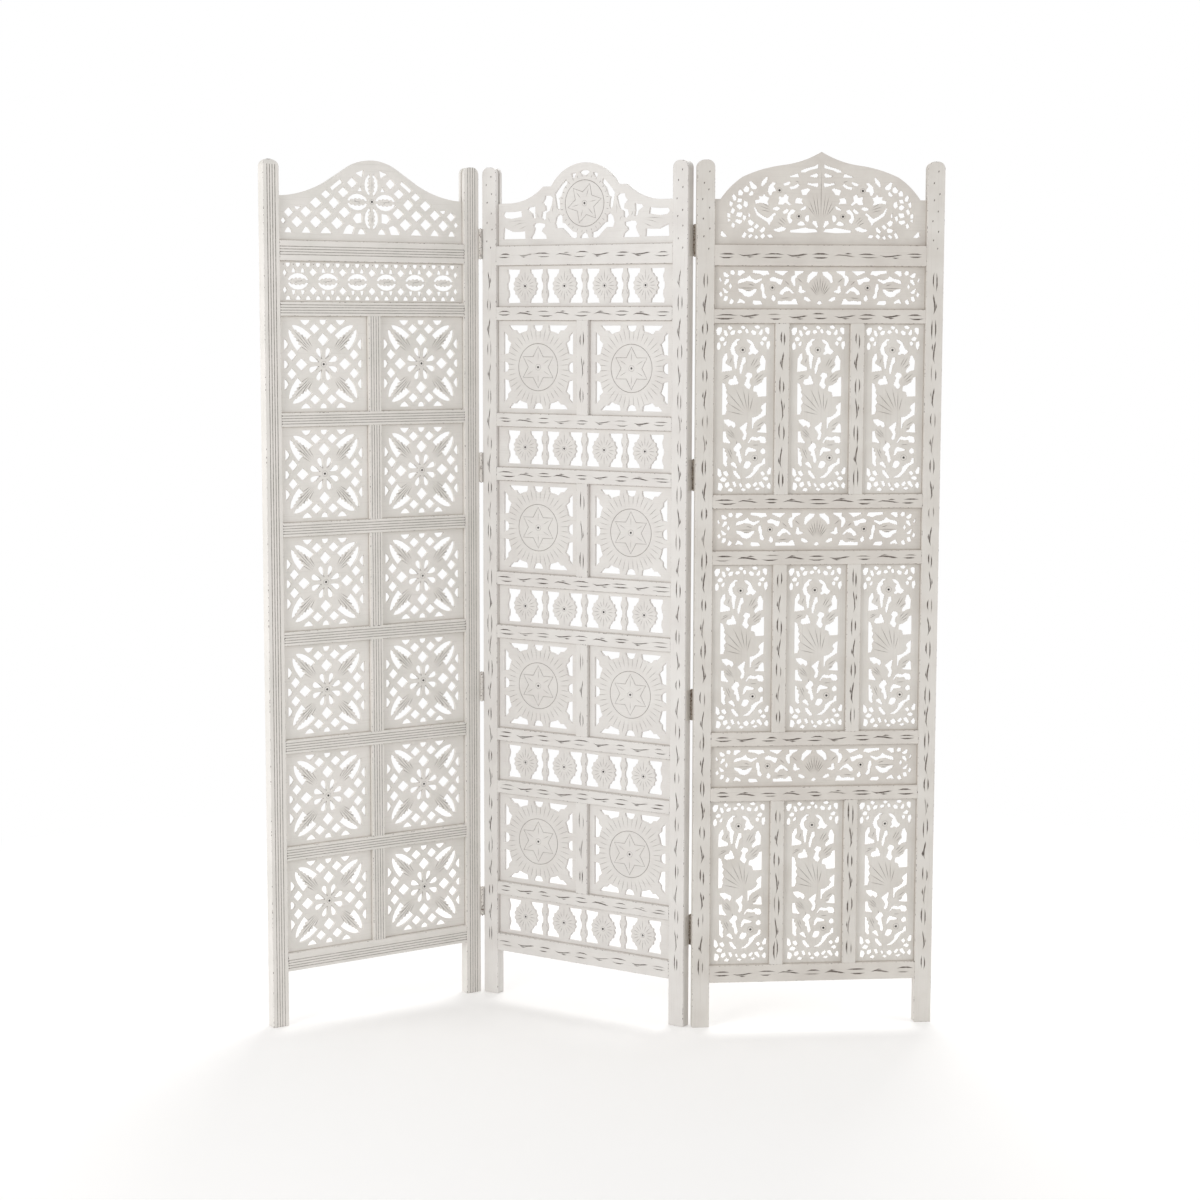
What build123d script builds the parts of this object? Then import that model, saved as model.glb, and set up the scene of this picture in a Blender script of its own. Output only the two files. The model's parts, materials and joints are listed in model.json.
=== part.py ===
from build123d import *
import os
from math import cos, hypot, pi, radians, sin, sqrt

# Carved folding screen: three framed wings of pierced (jali) panels, joined by two rows of
# butt hinges. All sizes in millimetres, +Z up. Each wing is set out in its own frame:
# x along the wing from its left edge, y through its thickness (front is -y), z from the floor.

# ---- driving sizes: frame members ------------------------------------------------------------
wing_width = 510.0
post_height = 1800.0
frame_thickness = 23.0
stile_width = 36.0
post_top_radius = 15.0
muntin_width = 28.5
panel_thickness = 6.0
groove_depth = 6.0
groove_clearance = 0.2
panel_float = 0.4
mortise_wall = 14.5
mortise_clearance = 0.3
foot_shoulder = 6.0

# left wing: fluted frame, six rows of two square panels below one long panel
left_leg = 116.0
left_bottom_rail = 38.0
left_rail = 28.5
left_top_rail = 41.0
left_square_height = 198.0
left_frieze_height = 83.5
left_square_rows = 6

# middle wing: long panels and pairs of square panels in turn
middle_leg = 99.0
middle_bottom_rail = 38.0
middle_rail = 28.0
middle_top_rail = 40.5
middle_square_height = 198.0
middle_frieze_height = 88.0
middle_square_rows = 4

# right wing: three rows of three tall panels, each row under a long panel
right_leg = 95.5
right_bottom_rail = 36.0
right_rail = 28.5
right_top_rail = 42.0
right_tall_height = 350.0
right_frieze_height = 88.0
right_tall_rows = 3

# crest panels: rise above the top rail beside the posts and at the middle
left_crest_shoulder = 90.0
left_crest_peak = 168.0
middle_crest_shoulder = 90.0
middle_crest_ear = 123.0
middle_crest_peak = 170.0
right_crest_notch = 92.0
right_crest_peak = 188.0

# outlines of the crests. Shares are of the half width and of the rise from shoulder to peak.
left_crown_shares = (0.255, 0.81)
left_flank_shares = (0.5, 0.385)
left_hollow_bow = 6.8
middle_arch_half_width = 84.0
middle_ear_outer = 104.0
middle_sweep_outer = 185.0
middle_sweep_bow = 7.6
right_notch_width = 13.0
right_brow_shares = (0.78, 0.47)
right_rim_shares = (0.39, 0.715)
right_dome_bow = 3.2
right_point_bow = 4.5

# plain borders between an opening's edge and the pierced field of its panel
leaf_border = 10.5
star_border = 12.0
tall_border = 7.5
frieze_end_border = 12.0
frieze_side_border = 8.0

# ---- driving sizes: hinges -------------------------------------------------------------------
hinge_length = 63.5
hinge_knuckles = 3
leaf_thickness = 1.0
leaf_reach = 21.0
leaf_gap = 0.4
barrel_radius = 3.0
barrel_sides = 8
knuckle_gap = 0.4
pin_radius = 1.5
pin_clearance = 0.1
pin_end = 1.5
hinge_heights = (205.0, 683.0, 1161.0, 1639.0)
left_stand_off = 4.8
right_stand_off = 3.6

# ---- driving sizes: how the screen stands ----------------------------------------------------
# Folds are measured from all wings in line: the left wing folds front to front with the middle
# one, the right wing back to back.
middle_turn = -32.5
left_fold = 67.0
right_fold = 38.1

# ---- worked out from the above ---------------------------------------------------------------
half_thickness = frame_thickness / 2
inner_width = wing_width - 2 * stile_width
half_groove = (panel_thickness + groove_clearance) / 2
tenon_length = stile_width - mortise_wall
wing_gap = 2 * leaf_thickness + leaf_gap


# ---- helpers ---------------------------------------------------------------------------------
def block(x0, x1, y0, y1, z0, z1):
    """A box between two corners."""
    return Solid.make_box(x1 - x0, y1 - y0, z1 - z0).moved(Location((x0, y0, z0)))


def upright_wire(points):
    """A closed wire through (x, z) corners in the plane of a wing."""
    return Wire.make_polygon([(x, 0, z) for x, z in points], close=True)


def board(outline, cut_outs, thickness):
    """A flat board in the plane of a wing, centred on y = 0."""
    slab = Solid.extrude(Face(outline, cut_outs), Vector(0, thickness, 0))
    return slab.moved(Location((0, -thickness / 2, 0)))


# ---- rows of openings ------------------------------------------------------------------------
class Row:
    """One row of equal openings, side by side, with muntins between them."""

    def __init__(self, bottom, height, columns):
        self.bottom = bottom
        self.height = height
        self.top = bottom + height
        self.columns = columns
        self.width = (inner_width - (columns - 1) * muntin_width) / columns

    def left(self, column):
        return stile_width + column * (self.width + muntin_width)


class Frame:
    """The rows of one wing and the levels of its rails, from the floor up."""

    def __init__(self, leg, bottom_rail, rail, top_rail, openings):
        self.rows = []
        level = leg + bottom_rail
        for height, columns in openings:
            self.rows.append(Row(level, height, columns))
            level += height + rail
        self.rails = [(leg, leg + bottom_rail)]
        for lower, upper in zip(self.rows, self.rows[1:]):
            self.rails.append((lower.top, upper.bottom))
        self.top = self.rows[-1].top + top_rail
        self.rails.append((self.rows[-1].top, self.top))

    def tenon(self, number):
        """The height that a rail's tenon takes, between its grooves or above its lower edge."""
        bottom, top = self.rails[number]
        foot = foot_shoulder if number == 0 else groove_depth
        return bottom + foot, top - groove_depth


# ---- frame members ---------------------------------------------------------------------------
def post_outline():
    """A stile's front outline, with rounded corners at the top."""
    r = post_top_radius
    lean = r * cos(radians(45))
    right = stile_width - r
    spring = post_height - r
    return Wire(
        [
            Edge.make_line((0, 0, 0), (stile_width, 0, 0)),
            Edge.make_line((stile_width, 0, 0), (stile_width, 0, spring)),
            Edge.make_three_point_arc(
                (stile_width, 0, spring), (right + lean, 0, spring + lean), (right, 0, post_height)
            ),
            Edge.make_line((right, 0, post_height), (r, 0, post_height)),
            Edge.make_three_point_arc((r, 0, post_height), (r - lean, 0, spring + lean), (0, 0, spring)),
            Edge.make_line((0, 0, spring), (0, 0, 0)),
        ]
    )


def make_left_stile(frame):
    """The post at a wing's left edge, with the panel groove and a mortise for each rail."""
    groove_left = stile_width - groove_depth
    mortise_left = mortise_wall - mortise_clearance
    lowest = frame.tenon(0)[0]
    cuts = [block(groove_left, stile_width, -half_groove, half_groove, lowest, post_height)]
    for number in range(len(frame.rails)):
        bottom, top = frame.tenon(number)
        low, high = bottom - mortise_clearance, top + mortise_clearance
        cuts.append(block(mortise_left, groove_left, -half_groove, half_groove, low, high))
    return board(post_outline(), [], frame_thickness).cut(*cuts)


def to_right_edge(shape):
    """The same piece at the right edge of the wing, mirrored."""
    return shape.mirror(Plane((wing_width / 2, 0, 0), z_dir=(1, 0, 0)))


def make_rail(frame, number):
    """A rail with a groove along each edge for the panels, and a tenon as thick at each end."""
    bottom, top = frame.rails[number]
    left, right = stile_width, wing_width - stile_width
    body = block(left, right, -half_thickness, half_thickness, bottom, top)
    cuts = [block(left, right, -half_groove, half_groove, top - groove_depth, top)]
    if number > 0:
        cuts.append(block(left, right, -half_groove, half_groove, bottom, bottom + groove_depth))
    tenon = block(
        left - tenon_length, right + tenon_length, -half_groove, half_groove, *frame.tenon(number)
    )
    return body.cut(*cuts).fuse(tenon)


def make_muntins(frame):
    """Short uprights between panels, with stub tenons in the grooves of the rails."""
    bars = []
    for row in frame.rows:
        for column in range(row.columns - 1):
            left = row.left(column) + row.width
            right = left + muntin_width
            body = block(left, right, -half_thickness, half_thickness, row.bottom, row.top)
            cuts = [
                block(left, left + groove_depth, -half_groove, half_groove, row.bottom, row.top),
                block(right - groove_depth, right, -half_groove, half_groove, row.bottom, row.top),
            ]
            stub = block(
                left + groove_depth,
                right - groove_depth,
                -half_groove,
                half_groove,
                row.bottom - groove_depth,
                row.top + groove_depth - panel_float,
            )
            bars.append(body.cut(*cuts).fuse(stub))
    return bars


# ---- pierced patterns ------------------------------------------------------------------------
# A pattern is a list of cut-outs, each a list of (x, z) corners about the middle of its field,
# and the half size of the drawing that they are set out on. It is stretched to the field that
# the opening leaves inside its plain border. A crest's pattern is set out from the middle of the
# top rail, and its size is given as half width, height beside the posts and height at the peak.
def mirrored(points):
    """The cut-out mirrored left to right."""
    return [(-x, z) for x, z in points]


def flipped(points):
    """The cut-out mirrored top to bottom."""
    return [(x, -z) for x, z in points]


def diamond(x, z, half_x, half_z):
    """A lozenge about (x, z)."""
    return [(x - half_x, z), (x, z - half_z), (x + half_x, z), (x, z + half_z)]


def both_sides(shapes):
    """Each cut-out and its mirror image."""
    return shapes + [mirrored(shape) for shape in shapes]


def four_ways(shapes):
    """Each cut-out at the top, left, bottom and right of the field."""
    turned = [[(-z, x) for x, z in shape] for shape in shapes]
    halves = shapes + turned
    return halves + [[(-x, -z) for x, z in shape] for shape in halves]


def leaf_square():
    """Four leaves on the diagonals, each between two crescents, and a lozenge on each side."""
    crescent = [(30, 56), (56, 66), (73, 79), (46, 73)]
    across = [(z, x) for x, z in crescent]
    return four_ways([diamond(0, 51, 11, 12.5), crescent, across]), (90.0, 90.0)


def star_square():
    """A plain middle for the engraved star, and two notched slots along each edge."""
    slot = [(27, 88), (29, 77), (49, 70), (75, 88)]
    return four_ways([slot, mirrored(slot)]), (88.0, 88.0)


def flower_tall():
    """A palmette in the middle with a flower above it and one below."""
    shapes = [
        [(-44, 54), (-44, -11), (-32, 0), (-32, 22)],
        [(28, 28), (46, 28), (46, 66), (20, 42)],
        [(18, -18), (20, -40), (46, -14), (46, 13)],
        [(-44, 76), (-24, 78), (-36, 114), (-44, 112)],
        [(8, 142), (10, 112), (30, 118)],
        [(-28, 126), (-20, 86), (-12, 106), (-8, 142)],
        [(8, -142), (20, -118), (42, -104), (24, -133)],
    ]
    return shapes, (55.0, 167.0)


def oval_frieze():
    """Six leaf ovals in a row, each between two crescents."""
    ovals = 6
    pitch = 69
    crescent = [(-23, 4), (0, 8), (23, 4), (0, 15)]
    shapes = []
    for number in range(ovals):
        middle = (number - (ovals - 1) / 2) * pitch
        shapes.append([(x + middle, z) for x, z in crescent])
    return shapes + [flipped(shape) for shape in shapes], (207.0, 37.0)


def rosette_frieze():
    """Four rosettes, with a waisted cut-out on each side of every one."""
    rosettes = 4
    pitch = 100
    waisted = [(12, -34), (44, -34), (44, 34), (12, 34), (33, 0)]
    shapes = []
    for number in range(rosettes):
        middle = (number - (rosettes - 1) / 2) * pitch
        shapes += [[(x + middle, z) for x, z in shape] for shape in (waisted, mirrored(waisted))]
    return shapes, (199.0, 34.5)


def flower_frieze():
    """A fan in the middle and a flower on each side of it."""
    half = [
        [(8, 29), (28, 8), (32, 12), (20, 29)],
        [(40, 30), (52, 20), (58, 4), (60, 28)],
        [(55, -13), (84, -15), (70, 0)],
        [(50, -36), (90, -36), (70, -29)],
        [(126, 12), (148, 9), (170, 6), (150, 20)],
    ]
    return both_sides(half), (209.0, 35.0)


def leaf_crest():
    """A lattice of lozenges about a quatrefoil of four leaves."""
    crescent = [(-22, 4), (0, 9), (22, 4), (0, 16)]
    sides = [[(x + 33, z + 82) for x, z in shape] for shape in (crescent, flipped(crescent))]
    uprights = [[(z, x + middle) for x, z in crescent] for middle in (48.5, 117.5)]
    lattice = [
        (81, 38, 12.5, 11.5), (130, 39, 12, 11), (173, 38, 11, 10.5),
        (63, 60, 12, 10.5), (108, 57, 12, 10.5), (153, 59, 11, 10),
        (88, 79, 11, 11), (130, 78, 12, 10), (66, 101, 11, 9), (45, 121, 10, 9.5),
    ]
    shapes = both_sides(sides + uprights + [diamond(*place) for place in lattice])
    return shapes, (219.0, 90.0, 168.0)


def medallion_crest():
    """Slots round a star medallion, with scrolls on both sides of it."""
    half = [
        [(22, 16), (26, 26), (48, 44), (56, 40), (40, 24)],
        [(56, 56), (57, 42), (70, 40), (73, 56), (64, 64)],
        [(44, 134), (52, 110), (68, 78), (72, 104)],
        [(82, 98), (102, 58), (108, 68), (92, 103)],
        [(96, 16), (134, 16), (126, 46), (100, 44)],
        [(126, 58), (142, 76), (126, 82)],
        [(152, 16), (204, 16), (204, 38), (178, 28)],
        [(160, 62), (180, 59), (204, 66), (162, 72)],
    ]
    return both_sides(half), (219.0, 90.0, 170.0)


def flower_crest():
    """A palmette in the middle, flowers on both sides of it and a lattice at each end."""
    half = [
        [(4, 28), (62, 28), (36, 36)],
        [(5, 154), (40, 147), (5, 163)],
        [(60, 86), (86, 84), (72, 102)],
        [(52, 42), (66, 46), (64, 70), (58, 58)],
        [(68, 36), (76, 28), (98, 34)],
        [(90, 104), (108, 112), (88, 126)],
        [(106, 84), (134, 86), (118, 104)],
        [(92, 56), (104, 42), (128, 58), (112, 56)],
        [(164, 76), (180, 78), (172, 64)],
    ]
    return both_sides(half), (219.0, 89.0, 182.0)


# ---- panels ----------------------------------------------------------------------------------
def make_panel(row, pattern, end_border, side_border):
    """A pierced panel for the row's first opening. Its lower edge sits in the rail's groove."""
    shapes, (half_x, half_z) = pattern
    middle_x = row.left(0) + row.width / 2
    middle_z = row.bottom + row.height / 2
    stretch_x = (row.width / 2 - end_border) / half_x
    stretch_z = (row.height / 2 - side_border) / half_z
    cut_outs = []
    for shape in shapes:
        corners = [(middle_x + x * stretch_x, middle_z + z * stretch_z) for x, z in shape]
        cut_outs.append(upright_wire(corners))
    tuck = groove_depth - panel_float
    left, right = row.left(0) - tuck, row.left(0) + row.width + tuck
    bottom, top = row.bottom - groove_depth, row.top + tuck
    outline = upright_wire([(left, bottom), (right, bottom), (right, top), (left, top)])
    return board(outline, cut_outs, panel_thickness)


def repeat_panels(panel, rows):
    """Copies of the first row's first panel in every opening of the rows."""
    first = rows[0]
    copies = []
    for row in rows:
        for column in range(row.columns):
            step = (row.left(column) - first.left(0), 0, row.bottom - first.bottom)
            copies.append(panel.moved(Location(step)))
    return copies


def bowed_edge(start, end, bow):
    """An edge between two (x, z) points. Its middle stands off the chord by the bow, to the left."""
    if bow == 0:
        return Edge.make_line((start[0], 0, start[1]), (end[0], 0, end[1]))
    run, climb = end[0] - start[0], end[1] - start[1]
    share = bow / hypot(run, climb)
    middle = ((start[0] + end[0]) / 2 - climb * share, (start[1] + end[1]) / 2 + run * share)
    return Edge.make_three_point_arc(*[(x, 0, z) for x, z in (start, middle, end)])


def mirrored_edges(corners, bows):
    """A crest's upper edge, from its right half as corners and the bow between each two."""
    whole = corners + [(-x, z) for x, z in reversed(corners[:-1])]
    whole_bows = bows + bows[::-1]
    return [bowed_edge(a, b, bow) for a, b, bow in zip(whole, whole[1:], whole_bows)]


def crown_bow(half_width, rise):
    """The bow of one half of a round arch whose top is level."""
    chord = hypot(half_width, rise)
    radius = chord**2 / (2 * rise)
    return sqrt(radius**2 - chord**2 / 4) - radius


def bell_edge(half_width):
    """Left wing: a bell, with a round crown, straight flanks and a hollow sweep to each post."""
    shoulder, peak = left_crest_shoulder, left_crest_peak
    levels = [
        (half_width * across, shoulder + (peak - shoulder) * up)
        for across, up in (left_flank_shares, left_crown_shares)
    ]
    crown_x, crown_z = levels[-1]
    corners = [(half_width, shoulder)] + levels + [(0, peak)]
    return mirrored_edges(corners, [left_hollow_bow, 0, crown_bow(crown_x, peak - crown_z)])


def ear_edge(half_width):
    """Middle wing: a round arch between two small ears, with a hollow sweep down from each."""
    shoulder, ear, peak = middle_crest_shoulder, middle_crest_ear, middle_crest_peak
    inner = middle_arch_half_width
    corners = [(half_width, shoulder), (middle_sweep_outer, shoulder)]
    corners += [(middle_ear_outer, ear), (inner, ear), (0, peak)]
    return mirrored_edges(corners, [0, middle_sweep_bow, 0, crown_bow(inner, peak - ear)])


def dome_edge(half_width):
    """Right wing: a full dome that draws up to a point, with a notch beside each post."""
    notch, peak = right_crest_notch, right_crest_peak
    foot = half_width - right_notch_width
    corners = [(half_width, notch), (foot, notch)]
    for across, up in (right_brow_shares, right_rim_shares):
        corners.append((foot * across, notch + (peak - notch) * up))
    corners.append((0, peak))
    return mirrored_edges(corners, [0, -right_dome_bow, -right_dome_bow, right_point_bow])


def make_crest(frame, upper_edges, pattern, shoulder, peak):
    """A crest panel: its sides stand in the posts' grooves and its foot in the top rail's."""
    shapes, (drawn_half_width, drawn_shoulder, drawn_peak) = pattern
    half_width = inner_width / 2
    tuck = half_width + groove_depth - panel_float
    corners = [(-half_width, shoulder), (-tuck, shoulder), (-tuck, -groove_depth)]
    corners += [(tuck, -groove_depth), (tuck, shoulder), (half_width, shoulder)]
    sides = [bowed_edge(a, b, 0) for a, b in zip(corners, corners[1:])]
    cut_outs = []
    for shape in shapes:
        stretched = []
        for x, z in shape:
            share = abs(x) / drawn_half_width
            rise = share * shoulder / drawn_shoulder + (1 - share) * peak / drawn_peak
            stretched.append((x * half_width / drawn_half_width, z * rise))
        cut_outs.append(upright_wire(stretched))
    crest = board(Wire(upper_edges(half_width) + sides), cut_outs, panel_thickness)
    return crest.moved(Location((wing_width / 2, 0, frame.top)))


# ---- hinges ----------------------------------------------------------------------------------
# Each hinge is made about its own pin, which stands on the z axis. The leaves reach back along
# +y, and the fixed leaf lies on the +x side. Barrels and pins are small and many, so they are
# eight-sided.
def knuckle_span(number):
    """Bottom and top of one knuckle of the barrel."""
    height = (hinge_length - (hinge_knuckles - 1) * knuckle_gap) / hinge_knuckles
    bottom = -hinge_length / 2 + number * (height + knuckle_gap)
    return bottom, bottom + height


def prism(radius, bottom, top):
    """An upright many-sided bar on the z axis. Its corners lie on the radius."""
    turns = [2 * pi * (side + 0.5) / barrel_sides for side in range(barrel_sides)]
    corners = [(radius * cos(turn), radius * sin(turn), bottom) for turn in turns]
    return Solid.extrude(Face(Wire.make_polygon(corners, close=True)), Vector(0, 0, top - bottom))


def make_leaf(first):
    """A leaf on the +x side: its plate and every other knuckle of the barrel from the first."""
    half = hinge_length / 2
    inner, outer = leaf_gap / 2, leaf_gap / 2 + leaf_thickness
    bore_radius = (pin_radius + pin_clearance) / cos(pi / barrel_sides)
    plate = block(inner, outer, (bore_radius + barrel_radius) / 2, leaf_reach, -half, half)
    reach = barrel_radius + knuckle_gap
    cuts = [prism(bore_radius, -half, half)]
    for number in range(1 - first, hinge_knuckles, 2):
        bottom, top = knuckle_span(number)
        cuts.append(block(-reach, reach, -reach, reach, bottom - knuckle_gap, top + knuckle_gap))
    return plate.fuse(prism(barrel_radius, -half, half)).cut(*cuts)


def make_pin():
    """The hinge pin, which stands a little proud of the barrel at each end."""
    return prism(pin_radius, -hinge_length / 2 - pin_end, hinge_length / 2 + pin_end)


# ---- where the wings stand -------------------------------------------------------------------
# The hinge places are given in the frame of each wing that a leaf is screwed to. The left row of
# barrels stands off the front face, the right row off the back face.
left_barrel_y = -half_thickness - left_stand_off
right_barrel_y = half_thickness + right_stand_off
left_row_on_middle = Location((-wing_gap / 2, left_barrel_y, 0))
left_row_on_left = Location((wing_width + wing_gap / 2, left_barrel_y, 0))
right_row_on_middle = Location((wing_width + wing_gap / 2, right_barrel_y, 0), (0, 0, 180))
right_row_on_right = Location((-wing_gap / 2, right_barrel_y, 0), (0, 0, 180))

middle_place = Location((0, 0, 0), (0, 0, middle_turn))
left_turn = Location((0, 0, 0), (0, 0, left_fold))
right_turn = Location((0, 0, 0), (0, 0, right_fold))
left_place = middle_place * left_row_on_middle * left_turn * left_row_on_left.inverse()
right_place = middle_place * right_row_on_middle * right_turn * right_row_on_right.inverse()

plan_corners = []
for wing_place in (left_place, middle_place, right_place):
    for x in (0, wing_width):
        for y in (-half_thickness, half_thickness):
            plan_corners.append((wing_place * Location((x, y, 0))).position)
centre_x = (min(c.X for c in plan_corners) + max(c.X for c in plan_corners)) / 2
centre_y = (min(c.Y for c in plan_corners) + max(c.Y for c in plan_corners)) / 2
to_centre = Location((-centre_x, -centre_y, 0))
left_place = to_centre * left_place
middle_place = to_centre * middle_place
right_place = to_centre * right_place


# ---- assembly --------------------------------------------------------------------------------
def save(name, solids, place):
    """Writes one node, placed in the screen's frame."""
    placed = [solid.moved(place) for solid in solids]
    shape = placed[0] if len(placed) == 1 else Compound(children=placed)
    export_step(shape, os.path.join("parts", name + ".step"))


def at_each_hinge(shape, row_place):
    """Copies of a piece at every hinge of a row, in the frame of the wing that carries it."""
    copies = []
    for height in hinge_heights:
        copies.append(shape.moved(Location((0, 0, height))).moved(row_place))
    return copies


def save_frame(wing, frame, place):
    """Writes a wing's stiles, its rails and its muntins."""
    left_stile = make_left_stile(frame)
    save(f"{wing}_left_stile", [left_stile], place)
    save(f"{wing}_right_stile", [to_right_edge(left_stile)], place)
    last = len(frame.rails) - 1
    titles = {0: "bottom_rail", last: "top_rail"}
    for number in range(last + 1):
        title = titles.get(number, f"rail_{number}")
        save(f"{wing}_{title}", [make_rail(frame, number)], place)
    save(f"{wing}_muntins", make_muntins(frame), place)


os.makedirs("parts", exist_ok=True)

left_openings = [(left_square_height, 2)] * left_square_rows + [(left_frieze_height, 1)]
left_frame = Frame(left_leg, left_bottom_rail, left_rail, left_top_rail, left_openings)
middle_pair = [(middle_frieze_height, 1), (middle_square_height, 2)]
middle_openings = middle_pair * middle_square_rows + [(middle_frieze_height, 1)]
middle_frame = Frame(middle_leg, middle_bottom_rail, middle_rail, middle_top_rail, middle_openings)
right_openings = [(right_tall_height, 3), (right_frieze_height, 1)] * right_tall_rows
right_frame = Frame(right_leg, right_bottom_rail, right_rail, right_top_rail, right_openings)

save_frame("left_wing", left_frame, left_place)
save_frame("middle_wing", middle_frame, middle_place)
save_frame("right_wing", right_frame, right_place)

# panels
left_squares = [row for row in left_frame.rows if row.columns == 2]
leaf_panel = make_panel(left_squares[0], leaf_square(), leaf_border, leaf_border)
save("left_wing_square_panels", repeat_panels(leaf_panel, left_squares), left_place)
oval_panel = make_panel(left_frame.rows[-1], oval_frieze(), frieze_end_border, frieze_side_border)
save("left_wing_frieze_panel", [oval_panel], left_place)

middle_squares = [row for row in middle_frame.rows if row.columns == 2]
star_panel = make_panel(middle_squares[0], star_square(), star_border, star_border)
save("middle_wing_square_panels", repeat_panels(star_panel, middle_squares), middle_place)
middle_friezes = [row for row in middle_frame.rows if row.columns == 1]
for number, row in enumerate(middle_friezes, 1):
    rosette_panel = make_panel(row, rosette_frieze(), frieze_end_border, frieze_side_border)
    save(f"middle_wing_frieze_panel_{number}", [rosette_panel], middle_place)

right_talls = [row for row in right_frame.rows if row.columns == 3]
tall_panel = make_panel(right_talls[0], flower_tall(), tall_border, tall_border)
save("right_wing_tall_panels", repeat_panels(tall_panel, right_talls), right_place)
right_friezes = [row for row in right_frame.rows if row.columns == 1]
for number, row in enumerate(right_friezes, 1):
    flower_panel = make_panel(row, flower_frieze(), frieze_end_border, frieze_side_border)
    save(f"right_wing_frieze_panel_{number}", [flower_panel], right_place)

# crests
left_crest = make_crest(
    left_frame, bell_edge, leaf_crest(), left_crest_shoulder, left_crest_peak
)
save("left_wing_crest_panel", [left_crest], left_place)
middle_crest = make_crest(
    middle_frame, ear_edge, medallion_crest(), middle_crest_shoulder, middle_crest_peak
)
save("middle_wing_crest_panel", [middle_crest], middle_place)
right_crest = make_crest(
    right_frame, dome_edge, flower_crest(), right_crest_notch, right_crest_peak
)
save("right_wing_crest_panel", [right_crest], right_place)

# hinges: the fixed leaves and the pins belong to the middle wing
fixed_leaf = make_leaf(0)
moving_leaf = make_leaf(1).mirror(Plane.YZ)
pin = make_pin()
for side, on_middle, on_wing, wing_place in (
    ("left", left_row_on_middle, left_row_on_left, left_place),
    ("right", right_row_on_middle, right_row_on_right, right_place),
):
    save(f"{side}_hinge_fixed_leaves", at_each_hinge(fixed_leaf, on_middle), middle_place)
    save(f"{side}_hinge_pins", at_each_hinge(pin, on_middle), middle_place)
    save(f"{side}_hinge_moving_leaves", at_each_hinge(moving_leaf, on_wing), wing_place)

for title, row_place in (("left", left_row_on_middle), ("right", right_row_on_middle)):
    axis = (middle_place * row_place).position
    print(f"{title} hinge axis at x {axis.X:.4f} y {axis.Y:.4f}")
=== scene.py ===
# %% [markdown]
# # A carved folding screen
# Three wings stand in a zigzag, joined by two rows of butt hinges. Each wing is a joiner's frame
# of posts, rails and muntins with thin pierced panels in its grooves. Everything is whitewashed
# and rubbed back, so a brown stain shows in every cut. The solids of the frame come first.

# %% Load the frame
import bpy
import json
import math
import random
from mathutils import Matrix, Vector


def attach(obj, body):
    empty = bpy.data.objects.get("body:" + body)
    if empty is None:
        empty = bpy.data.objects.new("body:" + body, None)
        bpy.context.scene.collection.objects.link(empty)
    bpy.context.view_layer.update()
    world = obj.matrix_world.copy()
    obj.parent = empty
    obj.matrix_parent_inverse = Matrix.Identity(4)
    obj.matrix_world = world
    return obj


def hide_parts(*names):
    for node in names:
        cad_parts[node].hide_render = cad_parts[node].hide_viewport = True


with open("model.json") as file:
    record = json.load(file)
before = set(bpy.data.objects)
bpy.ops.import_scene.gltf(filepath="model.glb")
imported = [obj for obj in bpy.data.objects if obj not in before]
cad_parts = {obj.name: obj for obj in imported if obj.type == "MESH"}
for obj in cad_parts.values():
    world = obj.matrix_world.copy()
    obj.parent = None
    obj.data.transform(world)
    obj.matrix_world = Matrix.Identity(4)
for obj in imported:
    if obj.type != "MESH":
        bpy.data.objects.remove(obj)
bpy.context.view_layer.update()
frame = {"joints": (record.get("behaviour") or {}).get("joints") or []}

# %% [markdown]
# ## Sizes
# A joiner sets out a screen on one rod, so all the sizes stand together, in millimetres. The
# pieces could be modelled straight in place, turned as the wings stand. It is easier to draw them
# flat in their own wing, x along it, y through it and z up, and to set them in place at the end.

# %% Sizes of the frames
WING, POST, THICK = 510.0, 1800.0, 23.0
STILE, MUNTIN = 36.0, 28.5
POST_ROUND, ARRIS = 15.0, 0.8
PANEL = 6.0
GROOVE, GROOVE_SLACK, FLOAT = 6.0, 0.2, 0.4
FOOT_SHOULDER = 6.0
INNER = WING - 2 * STILE
HALF = INNER / 2
SLACK = (PANEL + GROOVE_SLACK) / 2

# leg, bottom rail, rail and top rail, then each opening from the floor up: height, columns
WINGS = {
    "left_wing": dict(leg=116.0, bottom=38.0, rail=28.5, top=41.0,
                      openings=[(198.0, 2)] * 6 + [(83.5, 1)]),
    "middle_wing": dict(leg=99.0, bottom=38.0, rail=28.0, top=40.5,
                        openings=[(88.0, 1), (198.0, 2)] * 4 + [(88.0, 1)]),
    "right_wing": dict(leg=95.5, bottom=36.0, rail=28.5, top=42.0,
                       openings=[(350.0, 3), (88.0, 1)] * 3),
}


def rows_of(wing):
    """The levels of a wing's rails, and its openings as (bottom, height, columns)."""
    level = wing["leg"] + wing["bottom"]
    rails = [(wing["leg"], level)]
    rows = []
    for height, columns in wing["openings"]:
        rows.append((level, height, columns))
        rails.append((level + height, level + height + wing["rail"]))
        level += height + wing["rail"]
    top = rails[-1][0]
    rails[-1] = (top, top + wing["top"])
    return rails, rows


def opening_width(columns):
    return (INNER - (columns - 1) * MUNTIN) / columns


for wing_name, wing in WINGS.items():
    print(wing_name, "top rail from", rows_of(wing)[0][-1][0], "mm")

# %% Where the wings stand
FOLDS = {"left_wing": 34.5, "middle_wing": -32.5, "right_wing": 5.6}
WING_GAP = 2.4
NEAR_PIN, FAR_PIN = -WING_GAP / 2, WING + WING_GAP / 2
LEFT_PIN_Y = -THICK / 2 - 4.8
RIGHT_PIN_Y = THICK / 2 + 3.6


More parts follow.
